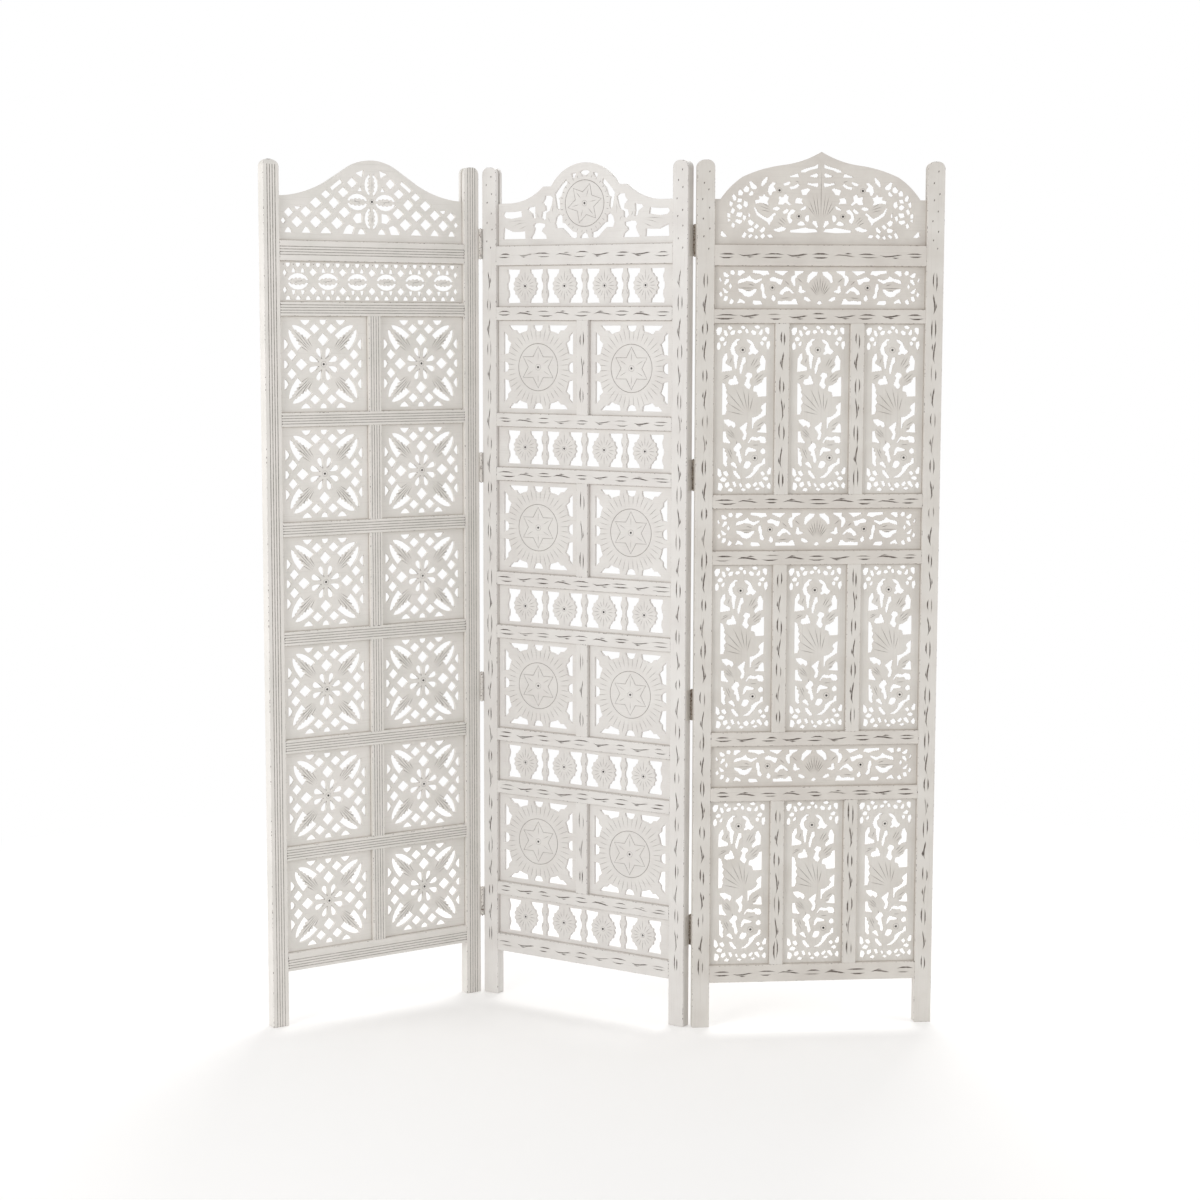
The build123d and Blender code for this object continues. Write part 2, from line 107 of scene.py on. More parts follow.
def wing_matrix(wing_name, pin_x, pin_y, joint_name):
    """From a wing's own millimetres to the screen's metres, with a pin on its joint's axis."""
    pin = next(joint["pos_m"] for joint in frame["joints"] if joint["name"] == joint_name)
    turn = Matrix.Rotation(math.radians(FOLDS[wing_name]), 4, "Z")
    to_pin = Matrix.Translation((-pin_x / 1000, -pin_y / 1000, 0))
    return Matrix.Translation((pin[0], pin[1], 0)) @ turn @ to_pin @ Matrix.Scale(0.001, 4)


PLACES = {
    "left_wing": wing_matrix("left_wing", FAR_PIN, LEFT_PIN_Y, "left_fold"),
    "middle_wing": wing_matrix("middle_wing", NEAR_PIN, LEFT_PIN_Y, "left_fold"),
    "right_wing": wing_matrix("right_wing", NEAR_PIN, RIGHT_PIN_Y, "right_fold"),
}

# %% [markdown]
# ## Finishes
# The wood is mango, stained brown, painted with thin white limewash and then sanded back. Paint
# like this is matt, it is never one even white, and the stain stays visible in every chisel cut
# and breaks through on worn corners. Painting the stain by hand would take days, so two vertex
# colours tell the shader where the chisel and the groove are, and noise breaks the lines up as
# sanding does. "cut" holds the chisel's work and "rim" how far the sides of an opening are.

# %% Small helpers for node trees
MAPPING, NOISE, RANGE = "ShaderNodeMapping", "ShaderNodeTexNoise", "ShaderNodeMapRange"
MIX, MATH = "ShaderNodeMix", "ShaderNodeMath"


def linear(code):
    """An sRGB hex colour as linear RGBA."""
    channels = []
    for place in (1, 3, 5):
        value = int(code[place:place + 2], 16) / 255
        channels.append(value / 12.92 if value <= 0.04045 else ((value + 0.055) / 1.055) ** 2.4)
    return (*channels, 1.0)


def emptied(owner):
    """The node tree of a new material or world, with nothing in it."""
    owner.use_nodes = True
    owner.node_tree.nodes.clear()
    return owner.node_tree


def add(tree, kind, inputs=None, **settings):
    """Adds a node. Inputs take values, output sockets, or nodes, whose first output is meant."""
    node = tree.nodes.new(kind)
    for name, value in settings.items():
        setattr(node, name, value)
    for name, value in (inputs or {}).items():
        if isinstance(value, bpy.types.Node):
            value = value.outputs[0]
        if isinstance(value, bpy.types.NodeSocket):
            tree.links.new(value, node.inputs[name])
        else:
            node.inputs[name].default_value = value
    return node


# %% Limewashed mango wood
# the second colour is the stain of an eye, darkened as painted shade of the hole
# the third colour is a glaze that also stands for painted shade along a panel's sides
STAIN, EYE_STAIN_AND_SHADE, GLAZE_AND_SHADE_COLOUR, STREAK = "#46362a", "#17110d", "#85725f", "#a0968a"
RIM, RIM_BIAS = 0.003, 0.02


def limewash(name, paint, shade, wing_name, grain):
    """Thin matt paint over stained wood. Grain gives the long way of the fibres, x or z."""
    material = bpy.data.materials.new(name)
    tree = emptied(material)
    place = add(tree, "ShaderNodeTexCoord").outputs["Object"]
    turn = (0, 0, -math.radians(FOLDS[wing_name]))
    local = add(tree, MAPPING, {"Vector": place, "Rotation": turn})
    # fibres: about 2.5 mm apart and 90 mm long
    fine = {"x": (11, 120, 400), "z": (400, 120, 11)}[grain]
    fibres = add(tree, MAPPING, {"Vector": local, "Scale": fine})
    fibre = add(tree, NOISE, {"Vector": fibres, "Scale": 1.0, "Detail": 3.0, "Roughness": 0.6})
    # thin and thick coats: patches of about 60 mm
    coat = add(tree, NOISE, {"Vector": local, "Scale": 16.0, "Detail": 4.0, "Roughness": 0.55})
    spread = add(tree, RANGE, {"Value": coat, "From Min": 0.35, "From Max": 0.7})
    coats = add(tree, MIX, {0: spread, 6: linear(paint), 7: linear(shade)}, data_type="RGBA")
    streak = add(tree, RANGE, {"Value": fibre, "From Min": 0.55, "From Max": 0.85, "To Max": 0.22})
    streaks = {0: streak, 6: coats.outputs[2], 7: linear(STREAK)}
    streaked = add(tree, MIX, streaks, data_type="RGBA")
    # the stain: full in deep cuts, broken up by sanding in specks of about 3 mm
    cut = add(tree, "ShaderNodeVertexColor", layer_name="cut")
    depth = add(tree, "ShaderNodeSeparateColor", {0: cut.outputs["Color"]})
    speck = add(tree, NOISE, {"Vector": local, "Scale": 190.0, "Detail": 3.0, "Roughness": 0.7})
    broken = add(tree, RANGE, {"Value": speck, "From Min": 0.30, "From Max": 0.58, "To Min": 0.55})
    worn = add(tree, RANGE, {"Value": speck, "From Min": 0.56, "From Max": 0.66})
    stained = add(tree, MATH, {0: depth, 1: broken}, operation="MULTIPLY", use_clamp=True)
    rubbed = add(tree, MATH, {0: depth.outputs[1], 1: worn}, operation="MULTIPLY", use_clamp=True)
    mask = add(tree, MATH, {0: stained, 1: rubbed}, operation="MAXIMUM")
    # glaze left by sanding and painted shade along the sides of a panel, in the last 3 mm
    near = add(tree, "ShaderNodeVertexColor", layer_name="rim")
    sides = add(tree, "ShaderNodeSeparateColor", {0: near.outputs["Color"]})
    upright = add(tree, MATH, {0: sides, 1: sides.outputs[1]}, operation="MINIMUM")
    level = add(tree, MATH, {0: sides.outputs[2], 1: near.outputs["Alpha"]}, operation="MINIMUM")
    away = add(tree, MATH, {0: upright, 1: level}, operation="MINIMUM")
    ends = {"From Min": RIM_BIAS, "From Max": RIM_BIAS + RIM, "To Min": 1.0, "To Max": 0.0}
    rim = add(tree, RANGE, {"Value": away, **ends})
    thin = add(tree, MATH, {0: rim, 1: 1.5}, operation="POWER")
    patchy = add(tree, MATH, {0: thin, 1: broken}, operation="MULTIPLY")
    glaze_and_shade = add(tree, MATH, {0: patchy, 1: 0.7}, operation="MULTIPLY")
    glazed_and_shaded = add(tree, MIX, {0: glaze_and_shade, 6: streaked.outputs[2], 7: linear(GLAZE_AND_SHADE_COLOUR)}, data_type="RGBA")
    # an eye is drilled deeper; its stain is made nearly black as painted shade of the hole
    eye_stains_and_shade = {0: depth.outputs[2], 6: linear(STAIN), 7: linear(EYE_STAIN_AND_SHADE)}
    stain_and_eye_shade = add(tree, MIX, eye_stains_and_shade, data_type="RGBA")
    colour = add(tree, MIX, {0: mask, 6: glazed_and_shaded.outputs[2], 7: stain_and_eye_shade.outputs[2]}, data_type="RGBA")
    relief = add(tree, MATH, {0: fibre, 1: 0.5, 2: coat}, operation="MULTIPLY_ADD")
    bump = add(tree, "ShaderNodeBump", {"Height": relief, "Strength": 0.25, "Distance": 0.0004})
    rough = add(tree, RANGE, {"Value": fibre, "To Min": 0.52, "To Max": 0.72})
    skin = {"Base Color": colour.outputs[2], "Roughness": rough, "Normal": bump}
    matt = add(tree, "ShaderNodeBsdfPrincipled", skin)
    add(tree, "ShaderNodeOutputMaterial", {"Surface": matt})
    return material


# the paint and its thinner patches, on rails and panels along x and on posts along z
# the left wing's paint is lighter, as painted light against the shade in its flutes and the fold
PAINTS_AND_PAINTED_LIGHT = {
    ("left_wing", "x"): ("limewash_left_rails", "#e5e1dc", "#dddad4"),
    ("left_wing", "z"): ("limewash_left_posts_with_painted_light", "#e5e1dc", "#dddad4"),
    ("middle_wing", "x"): ("limewash_middle_rails", "#e2dfdb", "#dbd7d3"),
    ("middle_wing", "z"): ("limewash_middle_posts", "#e2dfdb", "#dbd7d3"),
    ("right_wing", "x"): ("limewash_right_rails", "#d8d3cc", "#cec8c1"),
    ("right_wing", "z"): ("limewash_right_posts", "#dbd7d1", "#d2cdc6"),
}
WASH = {where: limewash(*paint, *where) for where, paint in PAINTS_AND_PAINTED_LIGHT.items()}
print("finishes", [material.name for material in WASH.values()])

# %% [markdown]
# ## Chisel work
# A carver's cut is a V that is widest in its middle and runs out to a point. A bump map would look
# like it from the front, but a real cut catches the light from every side. One cutter body is
# drawn along each stroke, all the strokes of a piece become one mesh, and one Boolean takes them
# out of both faces. Each face of a cutter carries the slot of its kind of cut, so the walls of a
# cut are known afterwards and get their share of the stain.

# %% Slots and small helpers
FULL, CUT, WORN, FAINT, EYE = range(5)
# how much stain shows at the bottom of a cut and at its rim, with painted shade added in an eye
STAINED = {CUT: (1.0, 0.62), FAINT: (0.72, 0.06), EYE: (1.0, 1.0)}


def only(obj):
    """Selects one object and makes it active."""
    bpy.ops.object.select_all(action="DESELECT")
    obj.select_set(True)
    bpy.context.view_layer.objects.active = obj


def give_slots(obj):
    """An empty material slot for each kind of face."""
    for _ in range(EYE + 1):
        obj.data.materials.append(None)


def face_outwards(obj, merge=False):
    """Turns all faces outwards, once points that lie together are merged."""
    only(obj)
    bpy.ops.object.mode_set(mode="EDIT")
    bpy.ops.mesh.select_all(action="SELECT")
    if merge:
        bpy.ops.mesh.remove_doubles(threshold=0.001)
    bpy.ops.mesh.normals_make_consistent(inside=False)
    bpy.ops.object.mode_set(mode="OBJECT")


def discard(obj):
    """Removes an object with its mesh."""
    mesh = obj.data
    bpy.data.objects.remove(obj)
    bpy.data.meshes.remove(mesh)


def circle(x, z, radius, sides):
    turns = [2 * math.pi * k / sides for k in range(sides)]
    return [(x + radius * math.cos(turn), z + radius * math.sin(turn)) for turn in turns]


# %% Cutter bodies
PROUD = 0.05
FULL_WIDTH_FROM = 0.35
DRILL_LEAD, DRILL_STRAIGHT = 0.5, 0.7


class Cutters:
    """Gathers strokes, holes and boxes as one mesh."""

    def __init__(self):
        self.points, self.faces, self.slots = [], [], []

    def add(self, points, faces, slot):
        start = len(self.points)
        self.points += points
        self.faces += [[start + corner for corner in face] for face in faces]
        self.slots += [slot] * len(faces)

    def stroke(self, path, width, depth, y, closed=False, blunt=False, slot=CUT):
        """A V cut along (x, z) points, on the face at y. Its ends are pointed unless blunt."""
        inward = -1 if y > 0 else 1
        top, half = y - PROUD * inward, width / 2
        count = len(path)
        points, starts, whole = [], [], []
        for number, (x, z) in enumerate(path):
            starts.append(len(points))
            whole.append(closed or blunt or 0 < number < count - 1)
            if not whole[-1]:
                points.append((x, top, z))
                continue
            before = path[number - 1] if number or closed else path[number]
            after = path[(number + 1) % count] if number + 1 < count or closed else path[number]
            way = Vector((after[0] - before[0], after[1] - before[1])).normalized()
            side = Vector((-way.y, way.x))
            points += [(x + side.x * half, top, z + side.y * half), (x, y + inward * depth, z),
                       (x - side.x * half, top, z - side.y * half), (x, y - inward * depth, z)]
        pairs = list(zip(range(count), range(1, count))) + ([(count - 1, 0)] if closed else [])
        faces = []
        for a, b in pairs:
            for corner in range(4):
                following = (corner + 1) % 4
                near = [corner, following] if whole[a] else [0]
                far = [following, corner] if whole[b] else [0]
                faces.append([starts[a] + k for k in near] + [starts[b] + k for k in far])
        if blunt and not closed:
            faces.append([starts[0] + corner for corner in (3, 2, 1, 0)])
            faces.append([starts[-1] + corner for corner in range(4)])
        self.add(points, faces, slot)

    def nick(self, start, end, width, depth, y, slot=CUT):
        """One straight chisel cut between two (x, z) points."""
        middle = [tuple(a + (b - a) * part for a, b in zip(start, end))
                  for part in (FULL_WIDTH_FROM, 1 - FULL_WIDTH_FROM)]
        self.stroke([start, *middle, end], width, depth, y, slot=slot)

    def ring(self, x, z, radius, width, depth, y, sides=16):
        self.stroke(circle(x, z, radius, sides), width, depth, y, closed=True, slot=FAINT)

    def drill(self, x, z, radius, depth, y, sides=10):
        """A blind hole with a pointed bottom."""
        inward = -1 if y > 0 else 1
        rim = circle(x, z, radius, sides)
        lead = y - inward * DRILL_LEAD
        points = [(a, lead, b) for a, b in rim]
        points += [(a, y + inward * depth * DRILL_STRAIGHT, b) for a, b in rim]
        points += [(x, y + inward * depth, z), (x, lead, z)]
        faces = []
        for k in range(sides):
            n = (k + 1) % sides
            faces += [[k, n, sides + n, sides + k], [sides + k, sides + n, 2 * sides],
                      [n, k, 2 * sides + 1]]
        self.add(points, faces, EYE)

    def box(self, x0, x1, y0, y1, z0, z1):
        points = [(x, y, z) for x in (x0, x1) for y in (y0, y1) for z in (z0, z1)]
        faces = [[0, 1, 3, 2], [4, 6, 7, 5], [0, 4, 5, 1],
                 [2, 3, 7, 6], [0, 2, 6, 4], [1, 5, 7, 3]]
        self.add(points, faces, FULL)

    def both_faces(self, method, *values, half=THICK / 2, **settings):
        for y in (-half, half):
            getattr(self, method)(*values, y=y, **settings)

    def body(self):
        mesh = bpy.data.meshes.new("cutters")
        mesh.from_pydata(self.points, [], self.faces)
        for polygon, slot in zip(mesh.polygons, self.slots):
            polygon.material_index = slot
        tool = bpy.data.objects.new("cutters", mesh)
        bpy.context.collection.objects.link(tool)
        give_slots(tool)
        face_outwards(tool)
        return tool


def carve(obj, cutters):
    """Takes the cutters out of a piece and applies the Boolean."""
    if not cutters.faces:
        return
    tool = cutters.body()
    only(obj)
    take = obj.modifiers.new("carve", "BOOLEAN")
    take.object = tool
    take.solver = "EXACT"
    take.use_self = True
    take.material_mode = "INDEX"
    bpy.ops.object.modifier_apply(modifier=take.name)
    discard(tool)


# %% Vertex colours, and the last step of every piece
SKIN = 0.2


def note_cuts(obj, half):
    """Writes the cut colour: red for stained cuts, green for worn corners, blue for eyes."""
    mesh = obj.data
    layer = mesh.color_attributes.new(name="cut", type="FLOAT_COLOR", domain="CORNER")
    for polygon in mesh.polygons:
        bottom, rim = STAINED.get(polygon.material_index, (0.0, 0.0))
        green = float(polygon.material_index == WORN)
        blue = float(polygon.material_index == EYE)
        for loop in polygon.loop_indices:
            depth = half - abs(mesh.vertices[mesh.loops[loop].vertex_index].co.y)
            layer.data[loop].color = (bottom if depth > SKIN else rim, green, blue, 1.0)


def note_rims(obj, x0, x1, z0, z1):
    """Writes how far each point is from the four sides of its opening, in metres plus RIM_BIAS."""
    layer = obj.data.color_attributes.new(name="rim", type="FLOAT_COLOR", domain="POINT")
    for vertex, spot in zip(obj.data.vertices, layer.data):
        x, z = vertex.co.x, vertex.co.z
        spot.color = [away / 1000 + RIM_BIAS for away in (x - x0, x1 - x, z - z0, z1 - z)]


def settle(obj, name, wing_name, material, node):
    """Names and paints a finished piece, moves its mesh into place and lets it ride."""
    obj.data.polygons.foreach_set("material_index", [0] * len(obj.data.polygons))
    obj.data.materials.clear()
    obj.data.materials.append(material)
    obj.data.transform(PLACES[wing_name])
    obj.name = obj.data.name = name
    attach(obj, wing_name)
    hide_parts(node)


# %% [markdown]
# ## Posts, rails and muntins
# Frame members are sawn bars with their corners rubbed off and, on the posts, a rounded head.
# They could be extruded from outlines, but a cube that is sized and bevelled keeps its faces flat
# and clean, which the Boolean needs. The cutters take out the panel groove and the carving.

# %% A sawn bar
def bar(x0, x1, z0, z1, round_top=False):
    """A cube of the bar's size, with its corners bevelled in edit mode."""
    bpy.ops.mesh.primitive_cube_add(
        size=1, location=((x0 + x1) / 2, 0, (z0 + z1) / 2), scale=(x1 - x0, THICK, z1 - z0))
    obj = bpy.context.object
    only(obj)
    bpy.ops.object.transform_apply(location=True, rotation=False, scale=True)
    give_slots(obj)
    if round_top:
        bpy.ops.object.mode_set(mode="EDIT")
        bpy.ops.mesh.select_all(action="DESELECT")
        bpy.ops.object.mode_set(mode="OBJECT")
        # the two edges at the head that run through the thickness
        for edge in obj.data.edges:
            a, b = (obj.data.vertices[corner].co for corner in edge.vertices)
            edge.select = a.z > z1 - 1 and b.z > z1 - 1 and abs(a.x - b.x) < 1
        bpy.ops.object.mode_set(mode="EDIT")
        bpy.ops.mesh.select_mode(type="EDGE")
        bpy.ops.mesh.bevel(offset=POST_ROUND, segments=8, affect="EDGES")
        bpy.ops.object.mode_set(mode="OBJECT")
    bpy.ops.object.mode_set(mode="EDIT")
    bpy.ops.mesh.select_mode(type="EDGE")
    bpy.ops.mesh.select_all(action="DESELECT")
    bpy.ops.mesh.edges_select_sharp(sharpness=math.radians(40))
    bpy.ops.mesh.bevel(offset=ARRIS, segments=1, affect="EDGES", material=WORN)
    bpy.ops.object.mode_set(mode="OBJECT")
    return obj


def frame_member(name, wing_name, x0, x1, z0, z1, cutters, upright, round_top=False):
    """Saws a bar, carves it and sets it in its wing. It has no rim, so that colour is far away."""
    obj = bar(x0, x1, z0, z1, round_top)
    carve(obj, cutters)
    note_cuts(obj, THICK / 2)
    rims = obj.data.color_attributes.new(name="rim", type="FLOAT_COLOR", domain="POINT")
    rims.data.foreach_set("color", [1.0] * 4 * len(rims.data))
    wash = WASH[wing_name, "z" if upright else "x"]
    settle(obj, name, wing_name, wash, name.split("-")[0])


# %% [markdown]
# ## Flutes and gouges
# The left wing's bars have four flutes, run with a plane along the whole bar. The other two wings
# have a vine that a carver gouged by eye: two bowed strokes like the sides of a leaf, then a wave
# with a short stroke beside it, and so on. One repeated stamp would look like wallpaper, so each
# gouge is a little off, by draws from a seeded random that come out the same in every run.

# %% Flutes of the left wing
FLUTES = (-1.5, -0.5, 0.5, 1.5)
RAIL_PITCH, POST_PITCH = 5.5, 5.9
FLUTE_WIDTH, FLUTE_DEPTH, FLUTE_PAST = 2.3, 1.0, 2.0
POOL_LENGTH, POOL_WIDTH, POOL_DEPTH = 2.6, 3.0, 1.7


def flute(cutters, x0, x1, z0, z1, upright, drop=0.0):
    """Four V grooves along a bar, on both faces."""
    for share in FLUTES:
        if upright:
            x = (x0 + x1) / 2 + share * POST_PITCH
            path = [(x, z0 - FLUTE_PAST), (x, z1 + FLUTE_PAST)]
        else:
            z = (z0 + z1) / 2 + share * RAIL_PITCH - drop
            path = [(x0 - FLUTE_PAST, z), (x1 + FLUTE_PAST, z)]
        cutters.both_faces("stroke", path, FLUTE_WIDTH, FLUTE_DEPTH, blunt=True, slot=FAINT)
        if not upright:
            # the stain pools where a flute runs into a post
            for x in (x0, x1 - POOL_LENGTH):
                cutters.both_faces("nick", (x, z), (x + POOL_LENGTH, z), POOL_WIDTH, POOL_DEPTH)


# %% Gouged vine of the middle and right wings
random.seed(7)
# pitch of the gouges, their least and most width
MOTIF = {"middle_wing": (49.0, 1.8, 2.9), "right_wing": (47.0, 2.4, 3.7)}
GOUGE_DEPTH, FAINT_SHARE = (1.2, 1.9), 0.12
WANDER, DRIFT, ENDS_CLEAR = (-3, 3), (-1.2, 1.2), 12.0
LEAF_HALF, LEAF_GAP, LEAF_SLIP = (18, 24), (2.6, 4.6), (-7, 7)
LEAF_REACH, LEAF_BOW = (0.6, 1.0), (0.2, 1.6)
WAVE_HALF, WAVE_APART, SHORT_START = (20, 25), 3.4, (-0.7, 0.1)
WAVE = ((-1.0, -1.6), (-0.5, 1.6), (0.1, 0.6), (0.6, -1.4), (1.0, -2.4))
SHORT = ((0, 0), (0.3, 0.9), (0.7, 0.4))


def leaf_cut(middle, drift):
    """Two bowed strokes that nearly meet, like the two sides of a long leaf."""
    half, gap, slip = (random.uniform(*ends) for ends in (LEAF_HALF, LEAF_GAP, LEAF_SLIP))
    strokes = []
    for side in (-1, 1):
        along, reach = middle + side * slip / 2, half * random.uniform(*LEAF_REACH)
        bow = side * random.uniform(*LEAF_BOW)
        edge = drift + side * gap
        strokes.append([(along - reach, edge - bow), (along - reach * 0.3, edge + bow * 0.6),
                        (along + reach * 0.35, edge + bow * 0.5), (along + reach, edge - bow)])
    return strokes


def wave_cut(middle, drift):
    """One long wavy stroke and a short one that follows it."""
    lean, half = random.choice((-1, 1)), random.uniform(*WAVE_HALF)
    long_one = [(middle + share * half, drift + rise * lean) for share, rise in WAVE]
    start = random.uniform(*SHORT_START)
    return [long_one, [(middle + (start + share) * half, drift + lean * (rise + WAVE_APART))
                       for share, rise in SHORT]]


def gouge(cutters, x0, x1, z0, z1, upright, motif):
    """Leaf cuts and wave cuts by turns along a bar, each cut by hand and so a little off."""
    pitch, narrow, wide = motif
    start, end = (z0, z1) if upright else (x0, x1)
    across = (x0 + x1) / 2 if upright else (z0 + z1) / 2
    count = max(1, round((end - start - ENDS_CLEAR) / pitch))
    step = (end - start) / count
    for y in (-THICK / 2, THICK / 2):
        for number in range(count):
            middle = start + step * (number + 0.5) + random.uniform(*WANDER)
            drift = random.uniform(*DRIFT)
            for path in (leaf_cut, wave_cut)[number % 2](middle, drift):
                spots = [(across + b, a) if upright else (a, across + b) for a, b in path]
                slot = FAINT if random.random() < FAINT_SHARE else CUT
                width, depth = random.uniform(narrow, wide), random.uniform(*GOUGE_DEPTH)
                cutters.stroke(spots, width, depth, y, slot=slot)


# %% Posts
POST_CLEAR, HEAD_CLEAR, MUNTIN_CLEAR = 12.0, 8.0, 8.0
HEAD_NICKS, NICK_PITCH, NICK_START = 9, 19.0, 6.0
NICK_X, NICK_Z, NICK_WIDTH, NICK_DEPTH = 0.6, 2.6, 2.4, 1.2
NICK_UP, NICK_ASIDE = (-4, 4), (4, 8)


def nick_head(cutters, x0, z0):
    """Small nicks that go up a post's head from side to side."""
    for level in range(HEAD_NICKS):
        z = z0 - NICK_START + level * NICK_PITCH + random.uniform(*NICK_UP)
        x = x0 + (-1) ** level * random.uniform(*NICK_ASIDE)
        ends = (x - NICK_X, z - NICK_Z), (x + NICK_X, z + NICK_Z)
        cutters.both_faces("nick", *ends, NICK_WIDTH, NICK_DEPTH)


def make_posts(wing_name, wing, rails):
    inner = {"left": (STILE - GROOVE, STILE + 1),
             "right": (WING - STILE - 1, WING - STILE + GROOVE)}
    low, high = rails[-1]
    for side, x0 in (("left", 0.0), ("right", WING - STILE)):
        x1 = x0 + STILE
        cutters = Cutters()
        cutters.box(*inner[side], -SLACK, SLACK, wing["leg"] + FOOT_SHOULDER, POST + 1)
        if wing_name in MOTIF:
            z0, z1 = wing["leg"] + POST_CLEAR, low - HEAD_CLEAR
            gouge(cutters, x0, x1, z0, z1, True, MOTIF[wing_name])
            nick_head(cutters, x0 + STILE / 2, high)
        else:
            flute(cutters, x0, x1, 0, POST, True)
        frame_member(f"{wing_name}_{side}_stile", wing_name, x0, x1, 0, POST, cutters, True, True)


# %% Rails and muntins
FIRST_DROP = 4.0


def make_rails(wing_name, rails):
    """Rails with a groove above, and below too except in the bottom rail."""
    x0, x1 = STILE, WING - STILE
    for number, (z0, z1) in enumerate(rails):
        title = {0: "bottom_rail", len(rails) - 1: "top_rail"}.get(number, f"rail_{number}")
        cutters = Cutters()
        cutters.box(x0 - 1, x1 + 1, -SLACK, SLACK, z1 - GROOVE, z1 + 1)
        if number:
            cutters.box(x0 - 1, x1 + 1, -SLACK, SLACK, z0 - 1, z0 + GROOVE)
        if wing_name in MOTIF:
            gouge(cutters, x0, x1, z0, z1, False, MOTIF[wing_name])
        else:
            flute(cutters, x0, x1, z0, z1, False, 0.0 if number else FIRST_DROP)
        frame_member(f"{wing_name}_{title}", wing_name, x0, x1, z0, z1, cutters, False)


def make_muntins(wing_name, rows):
    """The short uprights of each row, grooved on both sides."""
    for row, (z0, height, columns) in enumerate(rows):
        z1, width = z0 + height, opening_width(columns)
        for column in range(columns - 1):
            x0 = STILE + width + column * (width + MUNTIN)
            x1 = x0 + MUNTIN
            cutters = Cutters()
            cutters.box(x0 - 1, x0 + GROOVE, -SLACK, SLACK, z0 - 1, z1 + 1)
            cutters.box(x1 - GROOVE, x1 + 1, -SLACK, SLACK, z0 - 1, z1 + 1)
            if wing_name in MOTIF:
                low, high = z0 + MUNTIN_CLEAR, z1 - MUNTIN_CLEAR
                gouge(cutters, x0, x1, low, high, True, MOTIF[wing_name])
            else:
                flute(cutters, x0, x1, z0, z1, True)
            name = f"{wing_name}_muntins-{row}_{column}"
            frame_member(name, wing_name, x0, x1, z0, z1, cutters, True)


# %% Make every frame
for wing_name, wing in WINGS.items():
    rails, rows = rows_of(wing)
    make_posts(wing_name, wing, rails)
    make_rails(wing_name, rails)
    make_muntins(wing_name, rows)
    print(wing_name, "frame made: 2 posts,", len(rails), "rails")

# %% [markdown]
# ## Pierced panels
# A jali is sawn with a fretsaw from thin board: the blade is threaded through a drilled hole and
# follows the drawing, and the saw cannot turn a dead sharp corner. Boxes and Booleans could open
# the windows, but a flat curve with inner loops is the same thing as the board, and its loops are
# drawn as the sawyer draws them. Its extrude gives the thickness and its bevel breaks the corners.
# Half or a quarter of each pattern is drawn, and mirrors give the rest.

# %% Drawing helpers
def mirror(shapes, middle=0.0):
    return shapes + [[(2 * middle - x, z) for x, z in shape] for shape in shapes]


def four(shapes):
    """Each shape at the top, left, bottom and right."""
    half = shapes + [[(-z, x) for x, z in shape] for shape in shapes]
    return half + [[(-x, -z) for x, z in shape] for shape in half]


def diamond(x, z, a, b):
    return [(x - a, z), (x, z - b), (x + a, z), (x, z + b)]


def shift(shapes, dx, dz):
    return [[(x + dx, z + dz) for x, z in shape] for shape in shapes]


def swollen(shape, share):
    """The loop made larger about its own middle."""
    x0, z0 = (sum(values) / len(shape) for values in zip(*shape))
    return [(x0 + (x - x0) * share, z0 + (z - z0) * share) for x, z in shape]


def polar(points, turn):
    """(radius, offset) points along a spoke at the given angle in degrees."""
    c, s = math.cos(math.radians(turn)), math.sin(math.radians(turn))
    return [(r * c - t * s, r * s + t * c) for r, t in points]


def signed_area(shape):
    """Twice the loop's area, above zero where it runs anticlockwise."""
    return sum(ax * bz - bx * az for (ax, az), (bx, bz) in zip(shape, shape[1:] + shape[:1]))


def corners(shape):
    """Each corner of a loop between the one before it and the one after."""
    return zip(shape[-1:] + shape[:-1], shape, shape[1:] + shape[:1])


# %% Helpers for the saw's path
LEAST_MITER = 0.55
KERF = {"left_wing": 1.0, "middle_wing": 1.0, "right_wing": 0.5}
SAW_ROUND, SHORT_SIDE, ARC_STEPS = 1.2, 0.35, 10


def grown(shape, by):
    """The loop moved outward by a distance, with its miters kept short."""
    sense = 1 if signed_area(shape) > 0 else -1
    moved = []
    for before, corner, after in corners(shape):
        into = (Vector(corner) - Vector(before)).normalized()
        away = (Vector(after) - Vector(corner)).normalized()
        normals = [Vector((way.y, -way.x)) * sense for way in (into, away)]
        miter = (normals[0] + normals[1]) / max(1 + normals[0].dot(normals[1]), LEAST_MITER)
        moved.append(tuple(Vector(corner) + miter * by))
    return moved


def softened(shape, radius):
    """The loop with each corner cut back to a small round."""
    loop = []
    for before, corner, after in corners(shape):
        corner = Vector(corner)
        ends = []
        for other in (Vector(before), Vector(after)):
            length = (other - corner).length
            ends.append(corner.lerp(other, min(radius, length * SHORT_SIDE) / length))
        middle = 0.25 * ends[0] + 0.5 * corner + 0.25 * ends[1]
        loop += [tuple(ends[0]), tuple(middle), tuple(ends[1])]
    return loop


def arc(start, end, bow):
    """Points from start towards end along an arc whose middle stands off to the left by bow."""
    a, b = Vector(start), Vector(end)
    if bow == 0:
        return [tuple(a)]
    chord = b - a
    radius = (chord.length ** 2 / 4 + bow ** 2) / (2 * bow)
    left = Vector((-chord.y, chord.x)).normalized()
    centre = (a + b) / 2 + left * (bow - radius)
    sweep = -4 * math.atan(2 * bow / chord.length)
    arm = a - centre
    return [tuple(centre + Matrix.Rotation(sweep * k / ARC_STEPS, 2) @ arm)
            for k in range(ARC_STEPS)]


# %% Helpers for leaf edges
TOOTH_TIP, NEARLY_LEVEL = 0.7, 0.12


